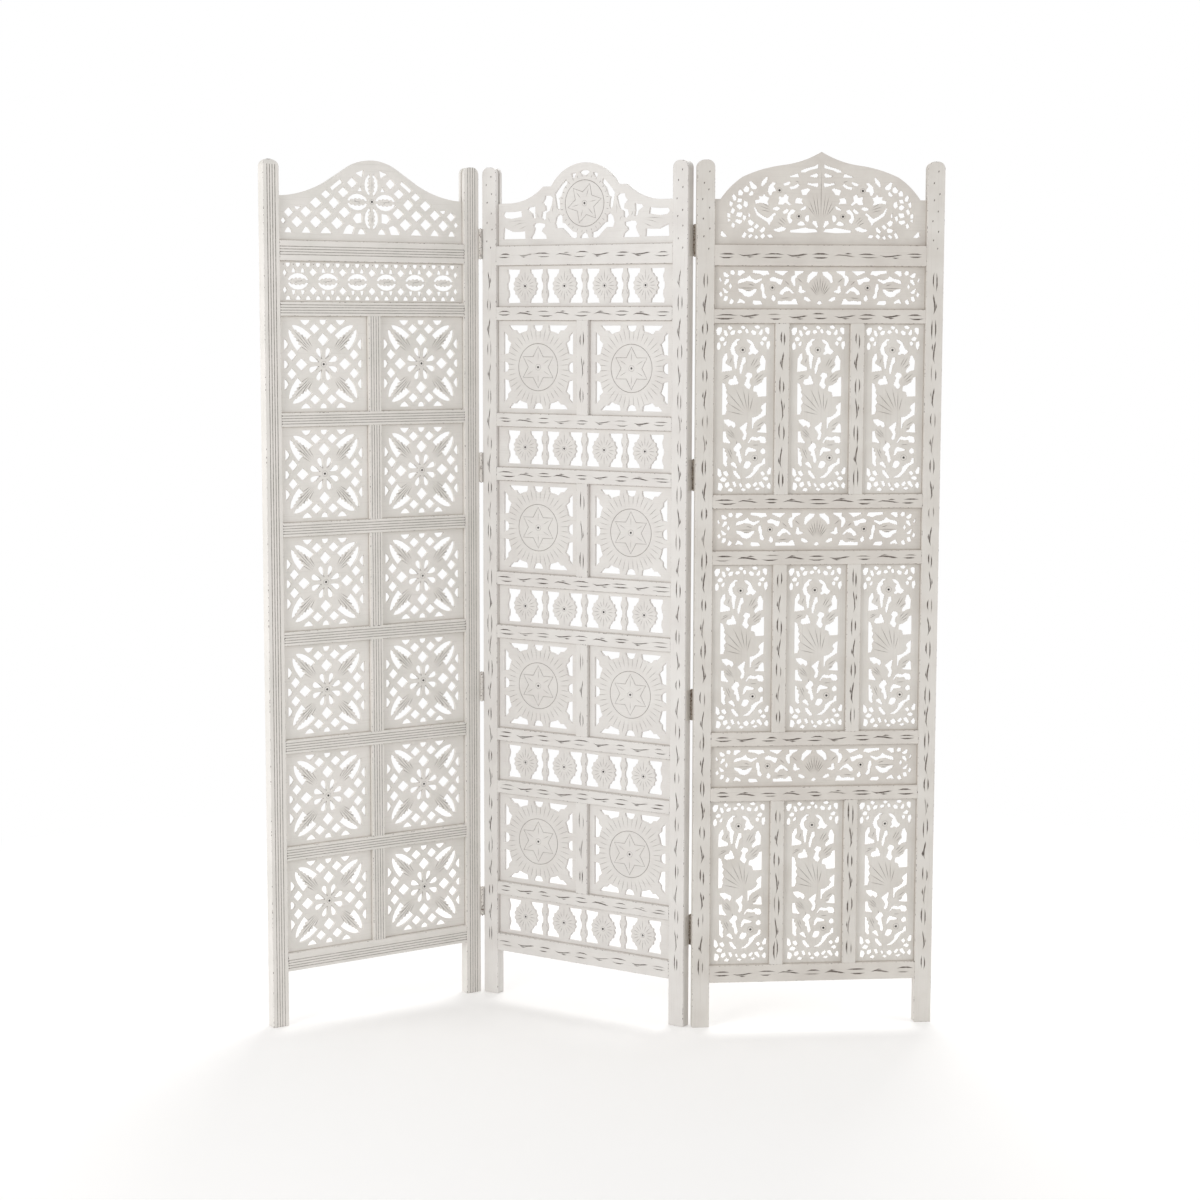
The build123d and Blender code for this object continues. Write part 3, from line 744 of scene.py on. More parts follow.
def toothed(start, end, count, depth, first=1.0):
    """Points from start towards end with teeth that stand off to the left by depth.

    The first tooth has only a share of the depth, and the others grow up to it."""
    a, b = Vector(start), Vector(end)
    left = Vector((-(b - a).y, (b - a).x)).normalized() * depth
    points = []
    for tooth in range(count):
        share = first + (1 - first) * tooth / max(count - 1, 1)
        points.append(tuple(a.lerp(b, tooth / count)))
        points.append(tuple(a.lerp(b, (tooth + TOOTH_TIP) / count) + left * share))
    return points


def ragged(shapes, pitch=4.8, depth=1.5, least=7.8):
    """Gives the long slanting sides of windows the bumps of a leaf's edge."""
    edged = []
    for shape in shapes:
        area = signed_area(shape)
        loop = []
        for _, corner, after in corners(shape):
            run = Vector(after) - Vector(corner)
            if run.length < least or min(abs(run.x), abs(run.y)) < NEARLY_LEVEL * run.length:
                loop.append(corner)
            else:
                teeth = round(run.length / pitch)
                loop += toothed(corner, after, teeth, math.copysign(depth, area))
        edged.append(loop)
    return edged


# %% Saw a board
CORNER_BREAK = 0.35


def sawn(name, loops, thick, corner_break=0.0, standing=False):
    """A flat board with windows, in x-y or standing in x-z, as a mesh with empty slots."""
    curve = bpy.data.curves.new(name, "CURVE")
    curve.dimensions = "2D"
    curve.fill_mode = "BOTH"
    curve.extrude = thick / 2 - corner_break
    curve.bevel_depth = corner_break
    curve.bevel_resolution = 0
    curve.offset = -corner_break
    for loop in loops:
        spline = curve.splines.new("POLY")
        spline.points.add(len(loop) - 1)
        for point, (x, y) in zip(spline.points, loop):
            point.co = (x, y, 0, 1)
        spline.use_cyclic_u = True
    obj = bpy.data.objects.new(name, curve)
    bpy.context.collection.objects.link(obj)
    only(obj)
    bpy.ops.object.convert(target="MESH")
    obj = bpy.context.object
    if standing:
        obj.data.transform(Matrix.Rotation(math.radians(90), 4, "X"))
    give_slots(obj)
    face_outwards(obj, merge=True)
    return obj


def fretwork(wing_name, outline, windows, cutters):
    """A panel with rounded windows as wide as the saw cut them, and carved faces."""
    cut = [softened(grown(window, KERF[wing_name]), SAW_ROUND) for window in windows]
    obj = sawn("board", [outline] + cut, PANEL, CORNER_BREAK, standing=True)
    carve(obj, cutters)
    note_cuts(obj, PANEL / 2)
    print(wing_name, "pattern:", len(windows), "windows,", len(obj.data.polygons), "faces")
    return obj


def board_outline(width, height):
    """A plain board that reaches into the grooves all round, about the opening's middle."""
    tuck = GROOVE - FLOAT
    left, right = -width / 2 - tuck, width / 2 + tuck
    bottom, top = -height / 2 - GROOVE, height / 2 + tuck
    return [(left, bottom), (right, bottom), (right, top), (left, top)]


# %% Helpers for carved faces
FACE = PANEL / 2
# width and depth of each kind of cut
EYE_RING, WIDE_RING, STAR_LINE = (1.0, 0.35), (1.9, 1.0), (1.7, 0.9)
EYE_RADIUS, EYE_DEPTH, STAR_POINTS = 2.4, 2.8, 6


def strokes_on(cutters, strokes, width, depth):
    """Veins and rays on both faces, straight or through several points."""
    for path in strokes:
        for y in (-FACE, FACE):
            if len(path) == 2:
                cutters.nick(*path, width, depth, y, slot=FAINT)
            else:
                cutters.stroke(path, width, depth, y, slot=FAINT)


def flower_eye(cutters, x, z, ring):
    """A drilled eye with a ring scribed round it."""
    cutters.both_faces("drill", x, z, EYE_RADIUS, EYE_DEPTH, half=FACE)
    cutters.both_faces("ring", x, z, ring, *EYE_RING, half=FACE)


def star(z, outer, inner, turn):
    """The outline of a star, tip by valley."""
    step = 180 / STAR_POINTS
    reach = (outer, inner)
    return [(px, z + pz) for k in range(2 * STAR_POINTS)
            for px, pz in polar([(reach[k % 2], 0)], turn + k * step)]


def medallion(cutters, z, ring, outer, inner, turn):
    """A scribed ring with a six-pointed star in it."""
    cutters.both_faces("ring", 0, z, ring, *WIDE_RING, half=FACE, sides=40)
    tips = star(z, outer, inner, turn)
    cutters.both_faces("stroke", tips, *STAR_LINE, half=FACE, closed=True, slot=FAINT)


# %% [markdown]
# ## Left wing: leaves, ovals and a lattice
# Four serrated leaves meet in each square panel and leave a net of diamonds between them. The
# frieze and the crest repeat an oval made of two leaves. The windows are drawn, not the leaves,
# because the windows are what the saw takes away. Each drawing is for one quarter or one side.

# %% Left wing, square panels
SERRATED = [(28, 59.5), (36, 66), (46, 73), (56, 77.5), (65, 79.5), (71, 79)]
SERRATED += toothed((70, 77), (33, 53), 5, 5.0, 0.45)
PETAL = [(13, 0), (21, 3), (29, 5.2), (33.5, 4), (35, 0), (33.5, -4), (29, -5.2), (21, -3)]
# start and end of the veins on one side of a leaf, as radius and offset
LEAF_VEINS = ((37, 2.8, 88, 6), (40, 5.8, 70, 12.5), (62, 2.6, 82, 9.5))


def leaf_square():
    shapes = [diamond(0, 50.5, 12, 13), diamond(19.5, 72.5, 11, 10), diamond(-19.5, 72.5, 11, 10)]
    shapes += [SERRATED, [(z, x) for x, z in reversed(SERRATED)]]
    shapes.append([(-7.5, 90), (7.5, 90), (6, 84.5), (0, 81), (-6, 84.5)])
    shapes += mirror([[(30, 90), (52, 90), (48, 85), (41, 80.5), (35, 84)]])
    windows = four(shapes) + [polar(PETAL, 22.5 + 45 * k) for k in range(8)]
    cutters = Cutters()
    veins = []
    for turn in (45, 135, 225, 315):
        veins.append(polar([(34, 0), (60, 0.6), (84, -0.5), (102, 0)], turn))
        for side in (-1, 1):
            for r0, t0, r1, t1 in LEAF_VEINS:
                veins.append(polar([(r0, t0 * side), (r1, t1 * side)], turn))
            veins.append(polar([(12, 3 * side), (30, 6 * side)], turn))
    strokes_on(cutters, veins, width=1.6, depth=1.0)
    for k in range(8):
        x, z = polar([(13, 0)], 22.5 + 45 * k)[0]
        cutters.both_faces("drill", x, z, 1.1, 1.2, half=FACE, sides=6)
    flower_eye(cutters, 0, 0, 6.0)
    return windows, cutters


# %% Left wing, frieze
LEAF_OVAL = [
    (-23, 4), (-19, 9.5), (-10, 14.5), (0, 16), (10, 14.5), (19, 9.5), (23, 4), (18, 3), (14, 8),
    (9, 5), (5, 9.5), (0, 6), (-5, 9.5), (-9, 5), (-14, 8), (-18, 3),
]


OVAL_PITCH, EDGE_PITCH = 69, 23


def oval_frieze():
    shapes, ribs = [], []
    for k in range(6):
        middle = (k - 2.5) * OVAL_PITCH
        drops = mirror([[(6.5, 19), (14.5, 19), (13, 25), (10.5, 27), (8, 25)]])
        shapes += shift([LEAF_OVAL] + drops, middle, 0)
        rib = [[(-17, 0), (0, 0.6), (17, 0)], [(-9, -3), (-3, -1)], [(3, 1), (9, 3)]]
        ribs += shift(rib, middle, 0)
    shapes += [diamond(OVAL_PITCH * k, 19, 8, 8) for k in range(-2, 3)]
    shapes += mirror([diamond(203, 17.5, 4.5, 6.5)])
    edge = [(-5.2, 36.5), (5.2, 36.5), (4, 32), (0, 29), (-4, 32)]
    for k in range(18):
        shapes += shift([edge], (k - 8.5) * EDGE_PITCH, 0)
    cutters = Cutters()
    strokes_on(cutters, ribs, width=1.4, depth=0.8)
    for k in range(-9, 10):
        x = k * EDGE_PITCH
        cutters.both_faces("nick", (x - 1.5, 33.5), (x + 1.5, 35.5), 1.4, 0.8, half=FACE)
    return shapes + [[(x, -z) for x, z in shape] for shape in shapes], cutters


# %% Left wing, crest
CREST_NET = (
    (81, 37.5, 12.5, 11.5), (130.5, 39, 12, 11), (173.5, 38, 11, 10.5), (63.5, 60, 12, 10.5),
    (108, 56.5, 12, 10.5), (153, 59, 11, 10), (192.5, 57, 9, 8.5), (130, 78, 12, 10),
    (88, 79, 11, 11), (66, 101, 11, 9), (106.5, 95.5, 9.5, 7.5), (45.5, 121, 10, 9.5),
)


LEAF_CREST = [
    [(15.5, 17), (32.5, 17), (29, 24), (24, 27), (19, 24)],
    [(41, 30), (46, 17), (67, 17), (60, 30), (52, 35)],
    [(94.5, 17), (119.5, 17), (113, 25), (107, 29), (101, 25)],
    [(142.5, 17), (162.5, 17), (157, 25), (152.5, 29), (148, 25)],
    [(186.5, 17), (201.5, 17), (198, 24), (194, 27), (190, 24)],
    [(24, 41), (36, 39), (44, 48), (37, 57), (24, 58)],
    diamond(205, 40, 5, 6),
    [(69, 121.2), (73, 126.8), (96, 109.8), (92, 104.2)], [(19, 147), (37, 141), (22, 133)],
    [(22, 105), (32, 105), (26, 113)], [(165, 68), (179, 69), (177, 65), (172, 63)],
]


def leaf_crest():
    half = LEAF_CREST + [diamond(x, z, a + 0.8, b + 0.8) for x, z, a, b in CREST_NET]
    ovals = [LEAF_OVAL, [(x, -z) for x, z in reversed(LEAF_OVAL)]]
    half += shift(ovals, 33, 82)
    shapes = mirror(half)
    for middle in (48.5, 117.5):
        shapes += [[(z, x * 0.92 + middle) for x, z in oval] for oval in ovals]
    cutters = Cutters()
    ribs = mirror([[(16, 82), (33, 82.6), (50, 82)], [(26, 79), (33, 81)], [(36, 83), (43, 85)]])
    ribs += [[(0, 34), (0.6, 48), (0, 62)], [(0, 103), (0.6, 117), (0, 132)]]
    strokes_on(cutters, ribs, width=1.4, depth=0.8)
    flower_eye(cutters, 0, 83, 5.0)
    return shapes, cutters


# %% [markdown]
# ## Middle wing: stars and rosettes
# Each square holds a round medallion that is scribed and not sawn: a ring, a star drawn with a
# gouge, and rays like the marks of a compass. The friezes have rosettes between flared windows.
# Rings and rays are strokes of the same cutters as the vine, so they are cut as deep as they look.

# %% Middle wing, square panels
def star_square():
    slots = mirror([[(27, 88), (75, 88), (66, 79), (58, 79), (50, 70), (41, 74), (29, 77)]])
    slots.append([(-12, 88), (12, 88), (9, 80.5), (4, 77), (-4, 77), (-9, 80.5)])
    cutters = Cutters()
    medallion(cutters, 0, 50, 44, 25.4, 90.0)
    rays = [polar([(53 + 2 * (k % 2), 0), (83 + 6 * (k % 3 > 0), 0)], 9 * k + 4.5)
            for k in range(40)]
    rays += [polar([(12, 0), (36, 0)], 30 + 60 * k) for k in range(6)]
    strokes_on(cutters, rays, width=1.3, depth=0.6)
    flower_eye(cutters, 0, 0, 6.5)
    return ragged(four(slots), 4.2, 1.4, 7.0), cutters


# %% Middle wing, friezes
BULGE = [
    (44.5, 34.5), (44, 28), (41.5, 24), (40.5, 18), (42, 12), (44.5, 6), (45, 0), (44, -6),
    (41.5, -12), (40.5, -18), (42, -24), (44.5, -28), (44, -34.5),
]
ROSETTE, ROSETTE_FROM, ROSETTE_SCALLOP = 31, 0.9, 0.13


def rosette_frieze():
    # sixteen petals, with a valley at each ray
    petal_edge = []
    for k in range(-10, 11):
        turn = math.radians(67 * k / 11)
        reach = ROSETTE_FROM + ROSETTE_SCALLOP * abs(math.sin(8 * turn))
        petal_edge.append((ROSETTE * reach * math.cos(turn), ROSETTE * reach * math.sin(turn)))
    waist = BULGE + [(13, -34.5)] + petal_edge + [(13, 34.5)]
    shapes, petals = [], []
    cutters = Cutters()
    for middle in (-150, -50, 50, 150):
        shapes += shift(mirror([waist]), middle, 0)
        for k in range(16):
            reach = 36 if k in (4, 12) else 27
            petals += shift([polar([(8, 0), (reach, 0)], 22.5 * k)], middle, 0)
        flower_eye(cutters, middle, 0, 5.0)
    for middle in (-100, 0, 100):
        petals += shift(mirror([[(2.5, 6), (8, 20)], [(2.5, -6), (8, -20)]]), middle, 0)
    strokes_on(cutters, petals, width=1.3, depth=0.6)
    return ragged(shapes, 4.4, 1.2, 6.4), cutters


# %% Middle wing, crest
MEDAL = 86
MEDAL_CREST = [
    [(21, 149), (31, 147), (31, 141), (26, 140)],
    [(44, 130), (47, 135), (57, 126), (68, 114), (74, 106), (72, 95), (69, 80), (65, 74), (62, 78),
     (63, 92), (66, 98), (59, 102), (56, 110), (52, 119), (45, 126)],
    [(20, 17), (20, 25), (28, 27), (38, 35), (48, 44), (56, 46), (56, 60), (63, 64), (70, 58),
     (73, 46), (70, 37), (56, 37), (45, 28), (35, 18), (25, 14)],
    [(80, 98), (86, 103), (98, 103), (99, 97), (105, 90), (97, 82), (96, 73), (106, 70), (108, 60),
     (102, 54), (98, 56), (97, 68), (88, 73), (83, 84)],
    [(123, 56), (129, 60), (131, 68), (143, 76), (139, 80), (124, 82), (125, 70)],
    [(100, 45), (112, 47), (124, 46), (128, 42), (124, 36), (127, 28), (134, 17), (133, 15),
     (96, 15), (98, 22), (108, 30), (106, 36), (100, 40)],
    [(158, 62), (160, 73), (180, 71), (203, 71), (206, 66), (200, 60), (185, 58), (170, 60)],
    [(150, 16), (151, 30), (165, 29), (180, 29), (204, 39), (205, 16)],
]
CREST_LEAVES = [
    [(140, 50), (165, 47), (186, 40)], [(140, 45), (156, 38), (170, 34)],
    [(144, 53), (170, 53), (200, 50)], [(84, 44), (89, 54), (94, 60)],
    [(78, 60), (80, 75), (77, 88)], [(112, 55), (117, 62), (120, 72)],
]


def medallion_crest():
    shapes = mirror(MEDAL_CREST)
    shapes.append([(-11, 150), (-6, 153), (6, 153), (11, 150), (5, 145), (-5, 145)])
    shapes.append([(-9, 15), (9, 15), (7, 21), (0, 25), (-7, 21)])
    cutters = Cutters()
    medallion(cutters, MEDAL, 48, 42, 24, 72.0)
    rays = [polar([(53, 0), (62, 0)], 12 * k) for k in range(30)]
    rays += [polar([(12, 0), (33, 0)], 12 + 60 * k) for k in range(6)]
    strokes_on(cutters, shift(rays, 0, MEDAL) + mirror(CREST_LEAVES), width=1.4, depth=0.7)
    flower_eye(cutters, 0, MEDAL, 6.0)
    return ragged(shapes, 4.8, 1.0, 9.0), cutters


# %% [markdown]
# ## Right wing: flowers and small cells
# The right wing is the finest work: a flower climbs each tall panel, among cells no wider than a
# finger. Nothing in the tall panel repeats, so it is drawn whole, cell by cell. The frieze and the
# crest are drawn as halves. A carver leaves the leaves' edges bumpy, and ragged() does that.

# %% Right wing, tall panels: the cells from the top down, and straight veins
TALL_CELLS = [
    [(-58, 160), (-54, 166), (-46, 166), (-46, 158), (-50, 151), (-56, 152)],
    [(-43, 161), (-36, 160), (-33, 152), (-36, 148), (-41, 152)],
    [(-34, 168), (-30, 170), (-23, 166), (-28, 161), (-33, 164)],
    [(-29, 155), (-26, 151), (-20, 153), (-18, 160), (-25, 160)],
    [(-14, 157), (-10, 154), (-4, 157), (-6, 161), (-12, 161)],
    [(-7, 168), (-3, 170), (3, 167), (0, 163), (-4, 164)],
    [(2, 160), (5, 155), (9, 156), (8, 162), (4, 164)],
    [(14, 158), (18, 152), (24, 152), (25, 158), (18, 162)],
    [(21, 169), (28, 171), (33, 167), (30, 164), (24, 165)],
    [(29, 154), (34, 151), (38, 154), (38, 162), (34, 162)],
    [(43, 165), (47, 167), (52, 165), (52, 155), (49, 152), (44, 158)],
    [(-51, 143), (-46, 148), (-40, 145), (-41, 140), (-48, 139)],
    [(-55, 134), (-51, 137), (-48, 130), (-49, 123), (-54, 121), (-56, 127)],
    [(-43, 132), (-40, 137), (-36, 138), (-37, 131), (-41, 129)],
    [(36, 144), (42, 149), (48, 146), (45, 140), (38, 141)],
    [(33, 136), (37, 139), (41, 135), (39, 130), (35, 131)],
    [(47, 137), (53, 139), (54, 130), (51, 120), (48, 124), (46, 130)],
    [(-6, 143), (-16, 143), (-25, 134), (-29, 122), (-26, 113), (-21, 110), (-21, 98), (-19, 84),
     (-15, 83), (-14, 95), (-11, 108), (-16, 113), (-19, 121), (-20, 126), (-14, 131), (-15, 137)],
    [(4, 143), (12, 142), (19, 136), (24, 124), (32, 118), (24, 111), (20, 114), (10, 110),
     (9, 115), (13, 118), (11, 125), (14, 133), (8, 137)],
    [(-45, 76), (-24, 79), (-25, 86), (-34, 91), (-38, 92), (-38, 97), (-34, 103), (-35, 114),
     (-40, 112), (-44, 104)],
    [(-8, 73), (-4.5, 73), (-2, 82), (-1, 90), (4, 96), (3, 106), (-3, 105), (-6, 95), (-9, 84)],
    [(29, 73), (36, 78), (44, 80), (45, 100), (40, 111), (35, 108), (32, 98), (34, 90), (29, 84),
     (26, 78)],
    [(-32, 53), (-26, 49), (-12, 51), (-11, 55), (-15, 66), (-20, 70), (-23, 62), (-30, 60)],
    [(8, 76), (17, 73), (18, 67), (13, 62), (12, 55), (16, 48), (12, 41), (6, 44), (0, 50),
     (4, 58), (7, 64), (3, 69)],
    [(-44, 54), (-38, 50), (-35, 40), (-37, 34), (-33, 28), (-36, 22), (-32, 14), (-36, 8),
     (-34, -2), (-37, -10), (-44, -11)],
    [(20, 37), (26, 36), (29, 26), (47, 27), (47, 66), (41, 64), (36, 54), (30, 50), (22, 48),
     (20, 43)],
    [(18, -17), (27, -15), (36, -8), (40, -2), (36, 3), (38, 8), (45, 14), (47, 12), (46, -12),
     (38, -17), (28, -23), (22, -30), (21, -38), (18, -40)],
    [(-41, -22), (-30, -21), (-18, -27), (-16, -34), (-20, -39), (-26, -33), (-31, -36),
     (-38, -29)],
    [(-9, -38), (-2, -33), (5, -27), (9, -29), (7, -38), (5, -42), (8, -50), (6, -60), (1, -64),
     (-2, -60), (1, -53), (-3, -45)],
    [(-42, -46), (-36, -46), (-34, -57), (-28, -66), (-26, -71), (-34, -69), (-42, -68)],
    [(26, -47), (48, -48), (47, -32), (43, -29), (38, -35), (36, -41)],
    [(9, -68), (14, -60), (20, -56), (30, -58), (36, -55), (46, -57), (48, -66), (44, -70),
     (36, -69), (34, -63), (24, -64), (16, -63), (12, -69)],
    [(36, -85), (41, -80), (46, -84), (46, -90), (40, -92), (36, -88)],
    [(3, -97), (8, -94), (13, -87), (26, -86), (28, -83), (20, -80), (10, -77), (5, -84)],
    [(-20, -79), (-12, -69), (-6, -71), (-3, -78), (-7, -82), (-5, -92), (-2, -104), (-5, -111),
     (-9, -107), (-10, -97), (-15, -94), (-13, -88), (-19, -84)],
    [(-42, -79), (-37, -82), (-39, -87), (-34, -90), (-36, -95), (-32, -98), (-34, -105),
     (-32, -115), (-36, -118), (-41, -112)],
    [(1, -119), (3, -112), (6, -107), (13, -107), (17, -111), (14, -118), (8, -122)],
    [(-26, -111), (-20, -108), (-15, -113), (-11, -121), (-15, -121), (-24, -115)],
    [(4, -140), (12, -136), (20, -128), (22, -119), (30, -113), (38, -110), (41, -102), (46, -101),
     (46, -112), (36, -118), (30, -127), (22, -136), (16, -141), (8, -142)],
    [(-20, -127), (-14, -128), (-8, -136), (-6, -141), (-11, -141), (-18, -134)],
    [(-52, -121), (-46, -126), (-44, -134), (-48, -138), (-52, -134)],
    [(-40, -129), (-34, -127), (-30, -134), (-34, -137), (-39, -133)],
    [(-47, -144), (-42, -139), (-34, -143), (-38, -148), (-44, -147)],
    [(-50, -152), (-44, -154), (-42, -160), (-45, -166), (-51, -164)],
    [(-36, -152), (-30, -150), (-28, -156), (-33, -160), (-37, -157)],
    [(-32, -167), (-26, -161), (-20, -165), (-24, -169)],
    [(-22, -150), (-16, -149), (-13, -157), (-18, -159)],
    [(-8, -154), (-4, -152), (-1, -158), (-5, -160)],
    [(-4, -165), (1, -162), (7, -165), (2, -168)],
    [(6, -155), (12, -151), (17, -157), (13, -162), (8, -160)],
    [(20, -155), (27, -149), (30, -154), (25, -160)],
    [(24, -163), (31, -161), (36, -164), (30, -167)],
    [(34, -151), (40, -149), (45, -158), (42, -161), (36, -156)],
    [(50, -156), (55, -150), (58, -156), (57, -163), (52, -161)],
    [(40, -142), (48, -138), (54, -143), (48, -147)],
    [(50, -128), (54, -121), (58, -122), (57, -132), (52, -133)],
    [(36, -131), (41, -128), (45, -133), (41, -137)],
]
TALL_VEINS = [
    [(16, 84), (31, 108)], [(12, 84), (24, 108)], [(20, 82), (34, 94)], [(20, 55), (43, 75)],
    [(24, 54), (40, 64)], [(20, 62), (32, 74)], [(-46, 59), (-25, 71)], [(-42, 66), (-30, 71)],
    [(-30, 92), (-25, 106)], [(-39, -38), (-13, -63)], [(-31, -38), (-16, -57)],
    [(-36, -48), (-20, -60)], [(-35, -77), (-21, -107)], [(-29, -79), (-22, -96)],
    [(25, -37), (44, -24)], [(26, -42), (38, -38)], [(16, -74), (34, -73)],
    [(-15, -62), (-12, -80)],
]


# %% Right wing, tall panels
FOOT_LEVEL, FOOT_SWELL = -118, 1.18
FAN = ((-37, -3), (-37, 15), (-37, 38), (-20, 47), (-3, 48), (10, 41), (20, 28))


def flower_tall():
    # the small cells at the foot are cut a little larger
    shapes = [swollen(shape, FOOT_SWELL) if max(z for _, z in shape) < FOOT_LEVEL else shape
              for shape in TALL_CELLS]
    cutters = Cutters()
    fan = [[(10 + (x - 10) * 0.14, (z + 14) * 0.14 - 14), (x, z)] for x, z in FAN]
    strokes_on(cutters, fan + TALL_VEINS, width=1.5, depth=0.9)
    for x, z in ((-3, 121), (24, -100)):
        flower_eye(cutters, x, z, 6.0)
    return ragged(shapes), cutters


# %% Right wing, friezes
FRIEZE_CELLS = [
    [(10, 29), (22, 30), (31, 22), (33, 10), (28, 7), (23, 14), (13, 22)],
    [(39, 31), (58, 31), (57, 24), (65, 20), (66, 12), (60, 1), (56, 2), (57, 14), (50, 23),
     (42, 27)], [(71, 31), (99, 31), (98, 28), (84, 22), (80, 24), (76, 28)],
    [(110, 25), (113, 31), (144, 32), (144, 27), (130, 25), (122, 21), (114, 24)],
    [(160, 29), (165, 32), (175, 31), (176, 23), (170, 21), (164, 26)],
    [(184, 32), (190, 31), (190, 25), (184, 23), (181, 27)],
    [(192, 22), (200, 28), (205, 27), (203, 20), (197, 18)],
    [(208, 12), (212, 20), (213, 14), (210, 9)],
    [(193, 14), (200, 14), (204, 5), (200, 3), (194, 8)],
    [(187, 0), (190, 6), (193, 0), (190, -5)],
    [(194, -11), (203, -4), (206, -5), (203, -13), (197, -14)],
    [(206, -18), (209, -11), (213, -15), (210, -21)],
    [(195, -21), (202, -20), (205, -28), (200, -30), (196, -27)],
    [(183, -29), (189, -25), (193, -34), (188, -36), (184, -33)],
    [(160, -35.5), (160, -31.5), (165, -28), (171, -25), (173, -29), (177, -35), (168, -33)],
    [(124, -36), (128, -30), (143, -29), (144, -34), (140, -37)],
    [(126, 12), (125, 17), (138, 13), (147, 17), (151, 22), (158, 17), (168, 15), (174, 11),
     (175, 5), (164, 8), (156, 11), (147, 10), (138, 5)],
    [(136, -6), (142, -6), (150, -10), (158, -9), (165, -6), (174, -5), (172, -11), (165, -15),
     (160, -20), (152, -22), (144, -19), (138, -12)],
    [(122, 5), (127, 5), (128, -5), (125, -13), (124, -22), (118, -25), (115, -21), (120, -12),
     (120, -3)],
    [(82, 14), (92, 16), (102, 20), (110, 16), (108, 11), (98, 10), (92, 5), (86, 4), (84, 9)],
    [(58, -13), (66, -5), (74, 0), (80, -3), (86, -8), (89, -15), (82, -17), (77, -11), (68, -9),
     (63, -14)], [(34, -9), (42, -6), (43, 0), (48, 2), (50, -10), (44, -14), (36, -12)],
    [(97, -22), (103, -15), (106, -25), (101, -30), (97, -27)],
    [(50, -36), (54, -26), (60, -25), (66, -30), (76, -28), (86, -30), (92, -30), (92, -36)],
    [(22, -29), (30, -22), (38, -20), (38, -27), (30, -31)],
]
FRIEZE_VEINS = [
    [(126, -1), (172, -1)], [(134, 3), (150, 8)], [(140, -4), (158, -8)], [(60, -20), (84, -22)],
    [(62, 4), (74, 15)], [(35, 9), (48, 20)],
]


def flower_frieze():
    shapes = shift(mirror(FRIEZE_CELLS, 5.5), -5.5, 2.5)
    shapes.append([(-6.5, -31), (0, -25), (6, -31), (-1, -34)])
    cutters = Cutters()
    fan = [polar([(8, 0), (50 - abs(k) * 3.4, 0)], 90 + 9.5 * k) for k in range(-4, 5)]
    strokes_on(cutters, shift(fan, 0, -24) + mirror(FRIEZE_VEINS), width=1.7, depth=1.0)
    for x in (-98.5, 98.5):
        flower_eye(cutters, x, 0, 5.5)
    return ragged(shapes), cutters


